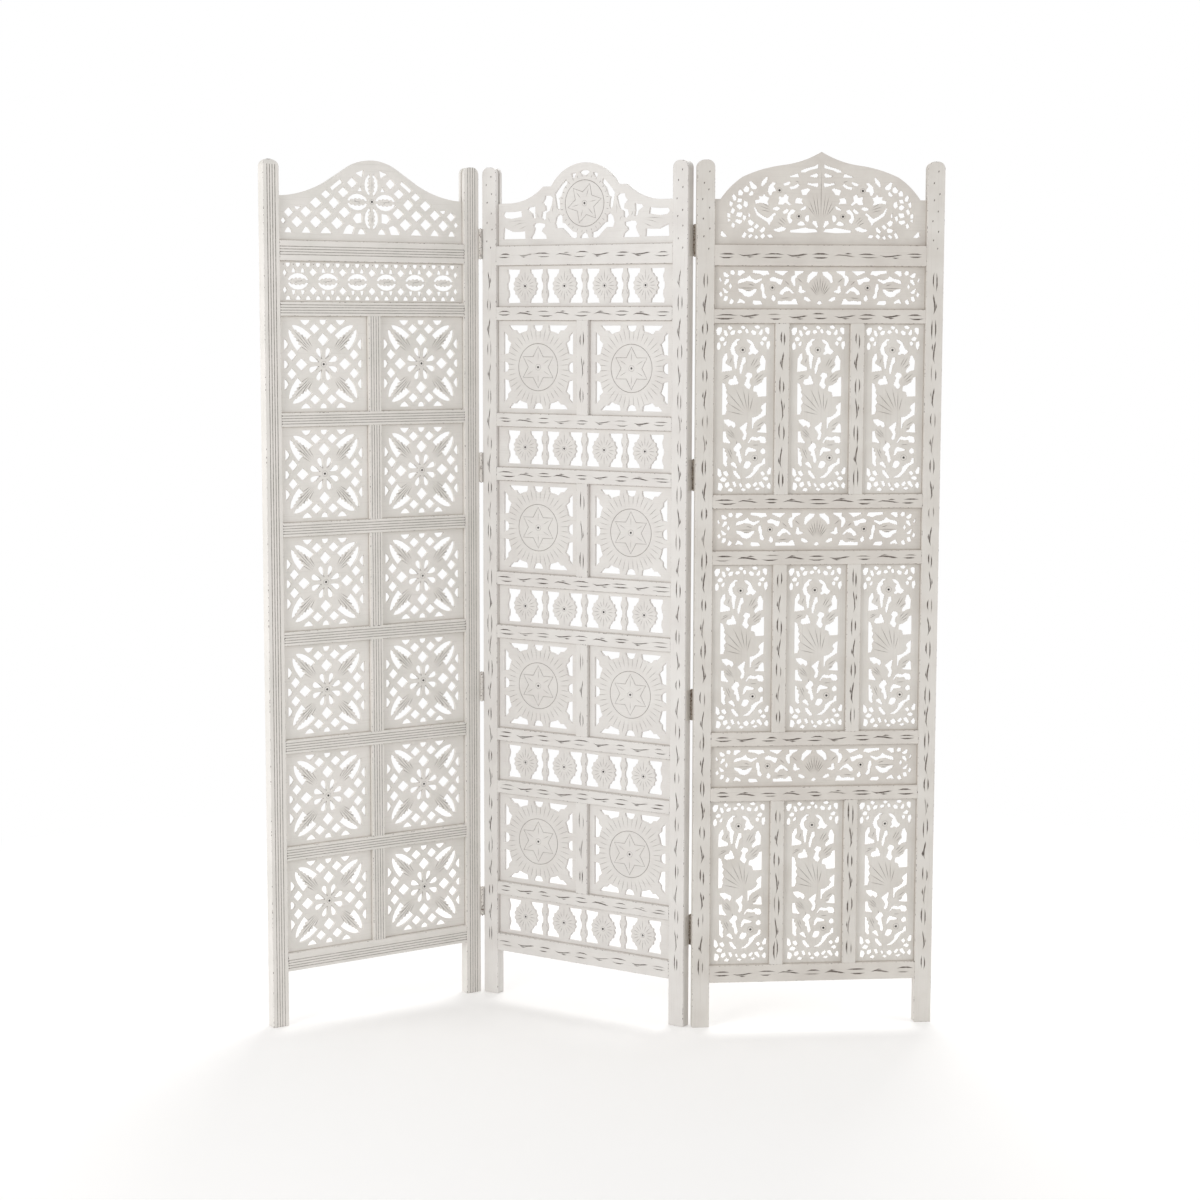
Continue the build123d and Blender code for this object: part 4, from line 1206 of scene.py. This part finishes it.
# %% Right wing, crest
CREST_CELLS = [
    [(4, 163), (10, 160), (20, 157), (28, 155), (38, 151), (40, 147), (30, 147), (22, 151),
     (5, 155)], [(4, 142), (8, 145), (18, 141), (22, 138), (8, 136)],
    [(4, 125), (14, 124), (24, 126), (27, 122), (18, 120), (7, 117), (4, 120)],
    [(43, 137), (46, 145), (56, 141), (65, 138), (60, 137)],
    [(42, 120), (46, 124), (56, 118), (63, 117), (60, 112), (50, 114)],
    [(61, 126), (64, 128), (76, 124), (74, 120), (66, 121)],
    [(20, 112), (26, 115), (40, 111), (38, 107), (36, 101), (28, 102), (24, 108)],
    [(90, 125), (98, 126), (106, 118), (108, 108), (104, 100), (100, 101), (98, 108), (91, 109),
     (92, 113), (96, 118)],
    [(107, 137), (112, 136), (120, 128), (122, 120), (118, 118), (110, 126)],
    [(130, 117), (134, 121), (141, 128), (146, 126), (143, 116), (138, 112), (131, 113)],
    [(146, 115), (152, 119), (158, 112), (156, 107), (150, 106), (146, 109)],
    [(137, 106), (141, 109), (147, 102), (144, 99), (138, 101)],
    [(158, 106), (164, 112), (168, 107), (168, 100), (160, 100)],
    [(172, 96), (177, 102), (181, 97), (178, 89), (172, 90)],
    [(160, 92), (168, 93), (170, 86), (162, 86)],
    [(149, 86), (156, 89), (158, 80), (152, 75), (148, 80)],
    [(178, 84), (185, 88), (186, 80), (182, 76)],
    [(160, 78), (166, 83), (173, 78), (166, 71), (160, 74)],
    [(174, 70), (180, 75), (184, 66), (178, 62)],
    [(159, 65), (170, 65), (172, 58), (164, 55), (160, 60)],
    [(184, 62), (190, 64), (190, 56), (184, 55)], [(143, 61), (146.5, 65), (147, 57.5), (144, 56)],
    [(150.5, 57), (157.5, 60), (158.5, 52), (154, 48)],
    [(160, 50), (172, 52), (174, 46), (166, 42), (160, 46)],
    [(174, 41), (179, 46), (183, 38), (176, 33)], [(183, 50), (189, 53), (189, 47)],
    [(134, 45), (142, 51), (148, 48), (146, 42), (140, 38)],
    [(124, 38), (130, 43), (136, 36), (130, 32)],
    [(135, 32), (140, 35), (149, 32), (146, 27), (137, 26)],
    [(112, 34), (116, 37), (124, 29), (120, 25), (114, 28)],
    [(96, 16), (100, 21), (108, 20), (104, 15)], [(112, 18), (116, 24), (123, 18), (118, 13)],
    [(126, 16), (131, 20), (134, 15), (130, 12)], [(137, 19), (141, 22), (147, 18), (144, 13)],
    [(150, 22), (155, 27), (161, 16), (154, 14)], [(190, 17), (202, 30), (204, 20), (198, 16)],
    [(104, 80), (108, 86), (104, 95), (110, 97), (115, 104), (118, 97), (126, 98), (124, 92),
     (134, 90), (132, 83), (122, 85), (114, 83)],
    [(90, 62), (96, 58), (96, 52), (102, 44), (104, 38), (108, 46), (118, 52), (130, 60),
     (136, 74), (133, 76), (127, 66), (116, 58), (107, 54), (99, 61), (92, 65)],
    [(62, 79), (60, 83), (66, 89), (64, 98), (72, 104), (76, 96), (86, 99), (84, 90), (87, 82),
     (76, 82), (72, 86)], [(33, 82), (38, 88), (36, 94), (46, 96), (50, 92), (51, 85), (42, 84)],
    [(28, 78), (32, 78), (41, 72), (38, 70), (30, 72)],
    [(80, 74), (88, 78), (97, 75), (96, 71), (88, 69)],
    [(64, 70), (68, 74), (77, 67), (74, 63), (68, 65)],
    [(22, 52), (22, 60), (27, 60), (31, 55), (29, 49), (24, 47)],
    [(50, 70), (58, 73), (66, 64), (68, 54), (63, 43), (58, 46), (56, 50), (61, 55), (60, 62),
     (54, 64)], [(30, 42), (34, 47), (40, 48), (47, 43), (44, 40), (34, 40)],
    [(3, 38), (6, 48), (14, 49), (15, 44), (10, 40), (6, 35)],
    [(4, 27), (8, 32), (20, 33), (28, 36), (40, 34), (50, 32), (62, 30), (60, 26), (30, 25)],
    [(68, 34), (78, 38), (86, 34), (96, 32), (92, 28), (84, 26), (74, 29)],
]
CREST_VEINS = [
    [(3, 46), (10, 110)], [(6, 50), (18, 106)], [(9, 54), (26, 94)], [(12, 58), (30, 82)],
    [(104, 74), (126, 88)], [(102, 66), (128, 72)], [(102, 70), (130, 80)], [(72, 40), (90, 56)],
    [(70, 44), (84, 58)], [(76, 38), (92, 48)], [(44, 126), (56, 130)],
]


def flower_crest():
    cutters = Cutters()
    strokes_on(cutters, [[(0, 36), (0, 160)]] + mirror(CREST_VEINS), width=1.4, depth=0.8)
    for x, z in ((86, 110), (-86, 110), (45.5, 58), (-45.5, 58)):
        flower_eye(cutters, x, z, 5.0)
    return ragged(shift(mirror(CREST_CELLS, -2), 2, 0), 4.8, 1.3, 8.2), cutters


# %% [markdown]
# ## The crests' outlines
# A bell, a medallion between two ears, and an onion dome: the upper edge of each crest is bandsawn
# to a few arcs that a joiner sets out from the middle. Half of it is given here by its corners and
# by how far each arc bows, which is easier to correct than the handles of a Bezier curve.

# %% Outlines of the crests
BELL_SHOULDER, BELL_RISE = 90, 78
DOME_SHOULDER, DOME_RISE = 92, 96
FOOT = HALF - 13.0


def crown_bow(half_width, rise):
    """How far the arc's half bows, where the arc is level at the crown."""
    chord = math.hypot(half_width, rise)
    radius = chord ** 2 / (2 * rise)
    return math.sqrt(radius ** 2 - chord ** 2 / 4) - radius


def crest_outline(half, bows):
    """The whole loop: the mirrored upper edge, then down into the grooves round it."""
    whole = half + [(-x, z) for x, z in reversed(half[:-1])]
    loop = []
    for a, b, bow in zip(whole, whole[1:], bows + bows[::-1]):
        loop += arc(a, b, bow)
    tuck = INNER / 2 + GROOVE - FLOAT
    shoulder = half[0][1]
    return loop + [(-tuck, shoulder), (-tuck, -GROOVE), (tuck, -GROOVE), (tuck, shoulder)]


BELL = crest_outline(
    [(HALF, BELL_SHOULDER), (0.5 * HALF, BELL_SHOULDER + 0.385 * BELL_RISE),
     (0.255 * HALF, BELL_SHOULDER + 0.81 * BELL_RISE), (0, BELL_SHOULDER + BELL_RISE)],
    [6.8, 0, crown_bow(0.255 * HALF, 0.19 * BELL_RISE)],
)
EARS = crest_outline([(HALF, 90), (185, 90), (104, 123), (84, 123), (0, 170)],
                     [0, 7.6, 0, crown_bow(84, 47)])
DOME = crest_outline(
    [(HALF, DOME_SHOULDER), (FOOT, DOME_SHOULDER),
     (0.78 * FOOT, DOME_SHOULDER + 0.47 * DOME_RISE),
     (0.39 * FOOT, DOME_SHOULDER + 0.715 * DOME_RISE), (0, DOME_SHOULDER + DOME_RISE)],
    [0, -3.2, -3.2, 4.5],
)
print("points of the crests", [len(outline) for outline in (BELL, EARS, DOME)])

# %% [markdown]
# ## Set the panels
# A joiner's shop saws one pattern many times, so each pattern is modelled once and copied, each
# copy with its own mesh so that it can be moved into its own opening. Linked copies would save
# memory, but a piece of this screen keeps its place in its mesh. The crests are one of a kind.

# %% Saw, carve and set every panel
CREST_CLEAR = 400
# the pattern and the node of the openings with so many columns
PATTERNS = {
    "left_wing": {2: (leaf_square, "left_wing_square_panels"),
                  1: (oval_frieze, "left_wing_frieze_panel")},
    "middle_wing": {2: (star_square, "middle_wing_square_panels"),
                    1: (rosette_frieze, "middle_wing_frieze_panel_{}")},
    "right_wing": {3: (flower_tall, "right_wing_tall_panels"),
                   1: (flower_frieze, "right_wing_frieze_panel_{}")},
}
CRESTS = {"left_wing": (leaf_crest, BELL), "middle_wing": (medallion_crest, EARS),
          "right_wing": (flower_crest, DOME)}


def copied(model):
    """A copy with its own mesh."""
    piece = model.copy()
    piece.data = model.data.copy()
    bpy.context.collection.objects.link(piece)
    return piece


for wing_name, wing in WINGS.items():
    rails, rows = rows_of(wing)
    models, counts = {}, {}
    for bottom, height, columns in rows:
        width = opening_width(columns)
        pattern, node = PATTERNS[wing_name][columns]
        if columns not in models:
            model = fretwork(wing_name, board_outline(width, height), *pattern())
            note_rims(model, -width / 2, width / 2, -height / 2, height / 2)
            models[columns] = model
        counts[columns] = counts.get(columns, 0) + 1
        node = node.format(counts[columns])
        wash = WASH[wing_name, "z" if columns == 3 else "x"]
        for column in range(columns):
            panel = copied(models[columns])
            x = STILE + width / 2 + column * (width + MUNTIN)
            panel.data.transform(Matrix.Translation((x, 0, bottom + height / 2)))
            name = node if columns == 1 else f"{node}-{counts[columns]}_{column + 1}"
            settle(panel, name, wing_name, wash, node)
    for model in models.values():
        discard(model)
    pattern, outline = CRESTS[wing_name]
    crest = fretwork(wing_name, outline, *pattern())
    note_rims(crest, -HALF, HALF, 0, CREST_CLEAR)
    crest.data.transform(Matrix.Translation((WING / 2, 0, rails[-1][1])))
    node = f"{wing_name}_crest_panel"
    settle(crest, node, wing_name, WASH[wing_name, "x"], node)
    print(wing_name, "panels set:", sum(columns for _, _, columns in rows), "and a crest")

# %% [markdown]
# ## Butt hinges
# A hinge leaf is cut from sheet steel with gaps for the other leaf's knuckles, curled round a pin
# and held by countersunk screws. It could be bent in steps as the maker does, but the curled blank
# has one outline all the way up, so that is drawn flat and extruded over the hinge's length, and
# the gaps and screw heads are carved out of it. The painter went over the leaves, so bare metal
# shows on the knuckles and the paint has closed over the rest.

# %% Painted steel
def steel(name, colour, rust, paint, bare_at):
    """Steel where "bare" is above a level, broken up by noise, and paint elsewhere."""
    material = bpy.data.materials.new(name)
    tree = emptied(material)
    place = add(tree, "ShaderNodeTexCoord").outputs["Object"]
    # chips of about 3 mm
    spots = add(tree, NOISE, {"Vector": place, "Scale": 260.0, "Detail": 4.0, "Roughness": 0.6})
    rusty = add(tree, RANGE, {"Value": spots, "From Min": 0.5, "From Max": 0.62})
    metal = add(tree, MIX, {0: rusty, 6: linear(colour), 7: linear(rust)}, data_type="RGBA")
    bare = add(tree, "ShaderNodeVertexColor", layer_name="bare").outputs["Color"]
    worn = add(tree, MATH, {0: bare, 1: spots}, operation="ADD")
    mask = add(tree, RANGE, {"Value": worn, "From Min": bare_at, "From Max": bare_at + 0.12})
    tint = add(tree, MIX, {0: mask, 6: linear(paint), 7: metal.outputs[2]}, data_type="RGBA")
    shine = add(tree, MATH, {0: mask, 1: 0.3}, operation="MULTIPLY")
    rough = add(tree, RANGE, {"Value": mask, "To Min": 0.6, "To Max": 0.45})
    bump = add(tree, "ShaderNodeBump", {"Height": spots, "Strength": 0.3, "Distance": 0.0002})
    skin = {"Base Color": tint.outputs[2], "Metallic": shine, "Roughness": rough, "Normal": bump}
    plate = add(tree, "ShaderNodeBsdfPrincipled", skin)
    add(tree, "ShaderNodeOutputMaterial", {"Surface": plate})
    return material


METALS = {
    "left": steel("painted_steel_left", "#9b9085", "#5a4a3d", "#d9d5cf", 1.52),
    # the right row's steel is lighter, as painted light against the shade in the gap between posts
    "right": steel("painted_steel_right_with_painted_light", "#b3a798", "#6b5a4b", "#cfcac3", 1.3),
}
print("hinge finishes", [material.name for material in METALS.values()])

# %% Sizes of a hinge
HINGE, KNUCKLES, KNUCKLE_GAP = 63.5, 3, 0.4
BARREL, BORE, PIN, PIN_END, PIN_DOME = 3.0, 1.6, 1.5, 1.5, 0.9
LEAF_NEAR, LEAF_FAR, LEAF_END = 0.2, 1.2, 21.0
LEAF_MIDDLE = (LEAF_NEAR + LEAF_FAR) / 2
CURL_END, CURL_STEPS = -355, 18
SCREW_AWAY, SCREW_PITCH, SCREW_HEAD = 13.0, 21.0, 6.0
SCREW_SLOT = SCREW_HEAD / 2 - 0.6
SCREW_RING, SCREW_CUT = (0.5, 0.3), (0.9, 0.5)
HINGE_LEVELS = (205.0, 683.0, 1161.0, 1639.0)
KNUCKLE = (HINGE - (KNUCKLES - 1) * KNUCKLE_GAP) / KNUCKLES


# %% Leaf and pin
def round_points(radius, start, end):
    turns = [start + (end - start) * k / CURL_STEPS for k in range(CURL_STEPS + 1)]
    return [polar([(radius, 0)], turn)[0] for turn in turns]


def note_bare(obj):
    """Writes 1 on the knuckles, falling to 0 at the leaf's far end."""
    layer = obj.data.color_attributes.new(name="bare", type="FLOAT_COLOR", domain="POINT")
    for vertex, spot in zip(obj.data.vertices, layer.data):
        bare = 1 - max(0.0, vertex.co.x - BARREL) / (LEAF_END - BARREL)
        spot.color = (bare, bare, bare, 1.0)


def hinge_leaf(moving):
    """A curled leaf with its pin along z and its plate along x."""
    sense = -1 if moving else 1
    far = -math.degrees(math.asin(LEAF_FAR / BARREL))
    near = -math.degrees(math.asin(LEAF_NEAR / BORE))
    outline = [(LEAF_END, -LEAF_FAR), *round_points(BARREL, far, CURL_END),
               *round_points(BORE, CURL_END, near), (LEAF_END, -LEAF_NEAR)]
    obj = sawn("leaf", [[(x, (y + LEAF_MIDDLE) * sense) for x, y in outline]], HINGE)
    cutters = Cutters()
    reach = BARREL + KNUCKLE_GAP
    if moving:
        gaps = [(-HINGE, -KNUCKLE / 2), (KNUCKLE / 2, HINGE)]
    else:
        gaps = [(-KNUCKLE / 2 - KNUCKLE_GAP, KNUCKLE / 2 + KNUCKLE_GAP)]
    for z0, z1 in gaps:
        cutters.box(-reach - 1, reach, -reach - 1, reach + 1, z0, z1)
    face = (LEAF_FAR - LEAF_NEAR) / 2 * sense
    for z in (-SCREW_PITCH, 0, SCREW_PITCH):
        cutters.ring(SCREW_AWAY, z, SCREW_HEAD / 2, *SCREW_RING, face)
        slot = [(SCREW_AWAY - SCREW_SLOT, z), (SCREW_AWAY + SCREW_SLOT, z)]
        cutters.stroke(slot, *SCREW_CUT, face, blunt=True)
    carve(obj, cutters)
    obj.data.transform(Matrix.Translation((0, -LEAF_MIDDLE * sense, 0)))
    note_bare(obj)
    return obj


def hinge_pin():
    """A pin with both ends domed."""
    bpy.ops.mesh.primitive_cylinder_add(vertices=20, radius=PIN, depth=HINGE + 2 * PIN_END)
    obj = bpy.context.object
    for edge in obj.data.edges:
        a, b = (obj.data.vertices[corner].co for corner in edge.vertices)
        edge.select = abs(a.z - b.z) < 0.01
    bpy.ops.object.mode_set(mode="EDIT")
    bpy.ops.mesh.select_mode(type="EDGE")
    bpy.ops.mesh.bevel(offset=PIN_DOME, segments=3, affect="EDGES")
    bpy.ops.object.mode_set(mode="OBJECT")
    note_bare(obj)
    return obj


# %% Hang the wings
HINGE_ROWS = (
    # row, turn, pin on the middle wing, wing of the moving leaves, pin on that wing
    ("left", 0, (NEAR_PIN, LEFT_PIN_Y), "left_wing", (FAR_PIN, LEFT_PIN_Y)),
    ("right", 180, (FAR_PIN, RIGHT_PIN_Y), "right_wing", (NEAR_PIN, RIGHT_PIN_Y)),
)
parts = {"fixed_leaves": hinge_leaf(False), "moving_leaves": hinge_leaf(True), "pins": hinge_pin()}
for row, turn, fixed_pin, moving_wing, moving_pin in HINGE_ROWS:
    for part, model in parts.items():
        moving = part == "moving_leaves"
        wing_name, pin = (moving_wing, moving_pin) if moving else ("middle_wing", fixed_pin)
        node = f"{row}_hinge_{part}"
        for number, level in enumerate(HINGE_LEVELS, 1):
            piece = copied(model)
            only(piece)
            bpy.ops.object.shade_smooth_by_angle(angle=math.radians(40))
            piece.data.transform(Matrix.Rotation(math.radians(90 + turn), 4, "Z"))
            piece.data.transform(Matrix.Translation((*pin, level)))
            settle(piece, f"{node}-{number}", wing_name, METALS[row], node)
    print(row, "row of hinges hung")
for model in parts.values():
    discard(model)

# %% [markdown]
# ## Floor
# The screen stands on a plain pale floor that fades into white. A floor that is simply white would
# lose the screen's shadow, and a brighter lamp would bleach the wood, so the camera's own rays see
# the floor glow a little more with distance, and the wood is lit by a plain matt floor.

# %% Floor
FLOOR_SIZE, FLOOR_NEAR, FLOOR_FAR = 40, 1.3, 2.4
WHITE = (1, 1, 1, 1)

bpy.ops.mesh.primitive_plane_add(size=FLOOR_SIZE, location=(0, 0, 0))
floor = bpy.context.object
floor.name = "floor"
ground = bpy.data.materials.new("white_floor")
tree = emptied(ground)
rays = add(tree, "ShaderNodeLightPath")
matt = add(tree, "ShaderNodeBsdfDiffuse", {"Color": linear("#f7f6f5")})
glow = add(tree, "ShaderNodeEmission", {"Color": WHITE, "Strength": 0.08})
lit = add(tree, "ShaderNodeAddShader", {0: matt, 1: glow})
white = add(tree, "ShaderNodeEmission", {"Color": WHITE, "Strength": 1.0})
# the floor's own shade up to 1.3 m from the middle of the screen, and plain white from 2.4 m
place = add(tree, "ShaderNodeTexCoord").outputs["Object"]
away = add(tree, "ShaderNodeVectorMath", {0: place}, operation="LENGTH").outputs["Value"]
fade = add(tree, RANGE, {"Value": away, "From Min": FLOOR_NEAR, "From Max": FLOOR_FAR})
seen = add(tree, "ShaderNodeMixShader", {0: fade, 1: lit, 2: white})
ends = add(tree, "ShaderNodeMixShader", {0: rays.outputs["Is Camera Ray"], 1: matt, 2: seen})
add(tree, "ShaderNodeOutputMaterial", {"Surface": ends})
floor.data.materials.append(ground)
print("floor", FLOOR_SIZE, "m")

# %% [markdown]
# ## Light and camera
# A white object needs soft light from one side more than the others, or its carving disappears.
# The world gives most of the light evenly, and four large softboxes give it a direction: the key
# from the left front, the others weaker. A single sun would be simpler, but its hard shadows would
# fall through every window. Camera and mirror rays see the world as plain white.

# %% World
WORLD_LIGHT = 0.64

world = bpy.data.worlds.new("studio")
bpy.context.scene.world = world
tree = emptied(world)
rays = add(tree, "ShaderNodeLightPath").outputs
plain = add(tree, MATH, {0: rays["Is Camera Ray"], 1: rays["Is Glossy Ray"]}, operation="MAXIMUM")
plain = add(tree, MATH, {0: plain, 1: rays["Is Transmission Ray"]}, operation="MAXIMUM")
level = add(tree, RANGE, {"Value": plain, "To Min": WORLD_LIGHT, "To Max": 1.0})
sky = add(tree, "ShaderNodeBackground", {"Color": WHITE, "Strength": level})
add(tree, "ShaderNodeOutputWorld", {"Surface": sky})
print("world light", WORLD_LIGHT)

# %% Softboxes
SOFTBOXES = (
    # name, place, level it points at, size, watts
    ("key_softbox", (-3.2, -3.6, 2.1), 0.9, (2.0, 2.0), 64),
    ("left_softbox", (-4.2, -0.7, 1.8), 0.9, (2.0, 3.0), 26),
    ("right_softbox", (4.0, -1.0, 2.2), 0.9, (3.0, 3.0), 48),
    ("back_softbox", (0.6, 3.0, 3.6), 0.4, (2.5, 1.5), 74),
)
for name, place, target, size, power in SOFTBOXES:
    light = bpy.data.lights.new(name, "AREA")
    light.shape = "RECTANGLE"
    light.size, light.size_y = size
    light.energy = power
    lamp = bpy.data.objects.new(name, light)
    lamp.location = place
    way = Vector((0, 0, target)) - Vector(place)
    lamp.rotation_euler = way.to_track_quat("-Z", "Y").to_euler()
    bpy.context.collection.objects.link(lamp)
print("softboxes", len(SOFTBOXES))

# %% Camera
CAMERA_PLACE = (-0.0041, -5.0938, 1.4666)
CAMERA_PITCH, CAMERA_ROLL, CAMERA_LENS = 6.478, 0.136, 72.56

camera_data = bpy.data.cameras.new("camera")
camera_data.lens = CAMERA_LENS
camera_data.sensor_width = 36.0
camera_data.sensor_fit = "HORIZONTAL"
camera = bpy.data.objects.new("camera", camera_data)
pitch = Matrix.Rotation(math.radians(90 - CAMERA_PITCH), 4, "X")
roll = Matrix.Rotation(math.radians(CAMERA_ROLL), 4, "Z")
camera.matrix_world = Matrix.Translation(CAMERA_PLACE) @ pitch @ roll
bpy.context.collection.objects.link(camera)
bpy.context.scene.camera = camera
bpy.context.scene.view_settings.view_transform = "Standard"
print("camera", CAMERA_LENS, "mm")
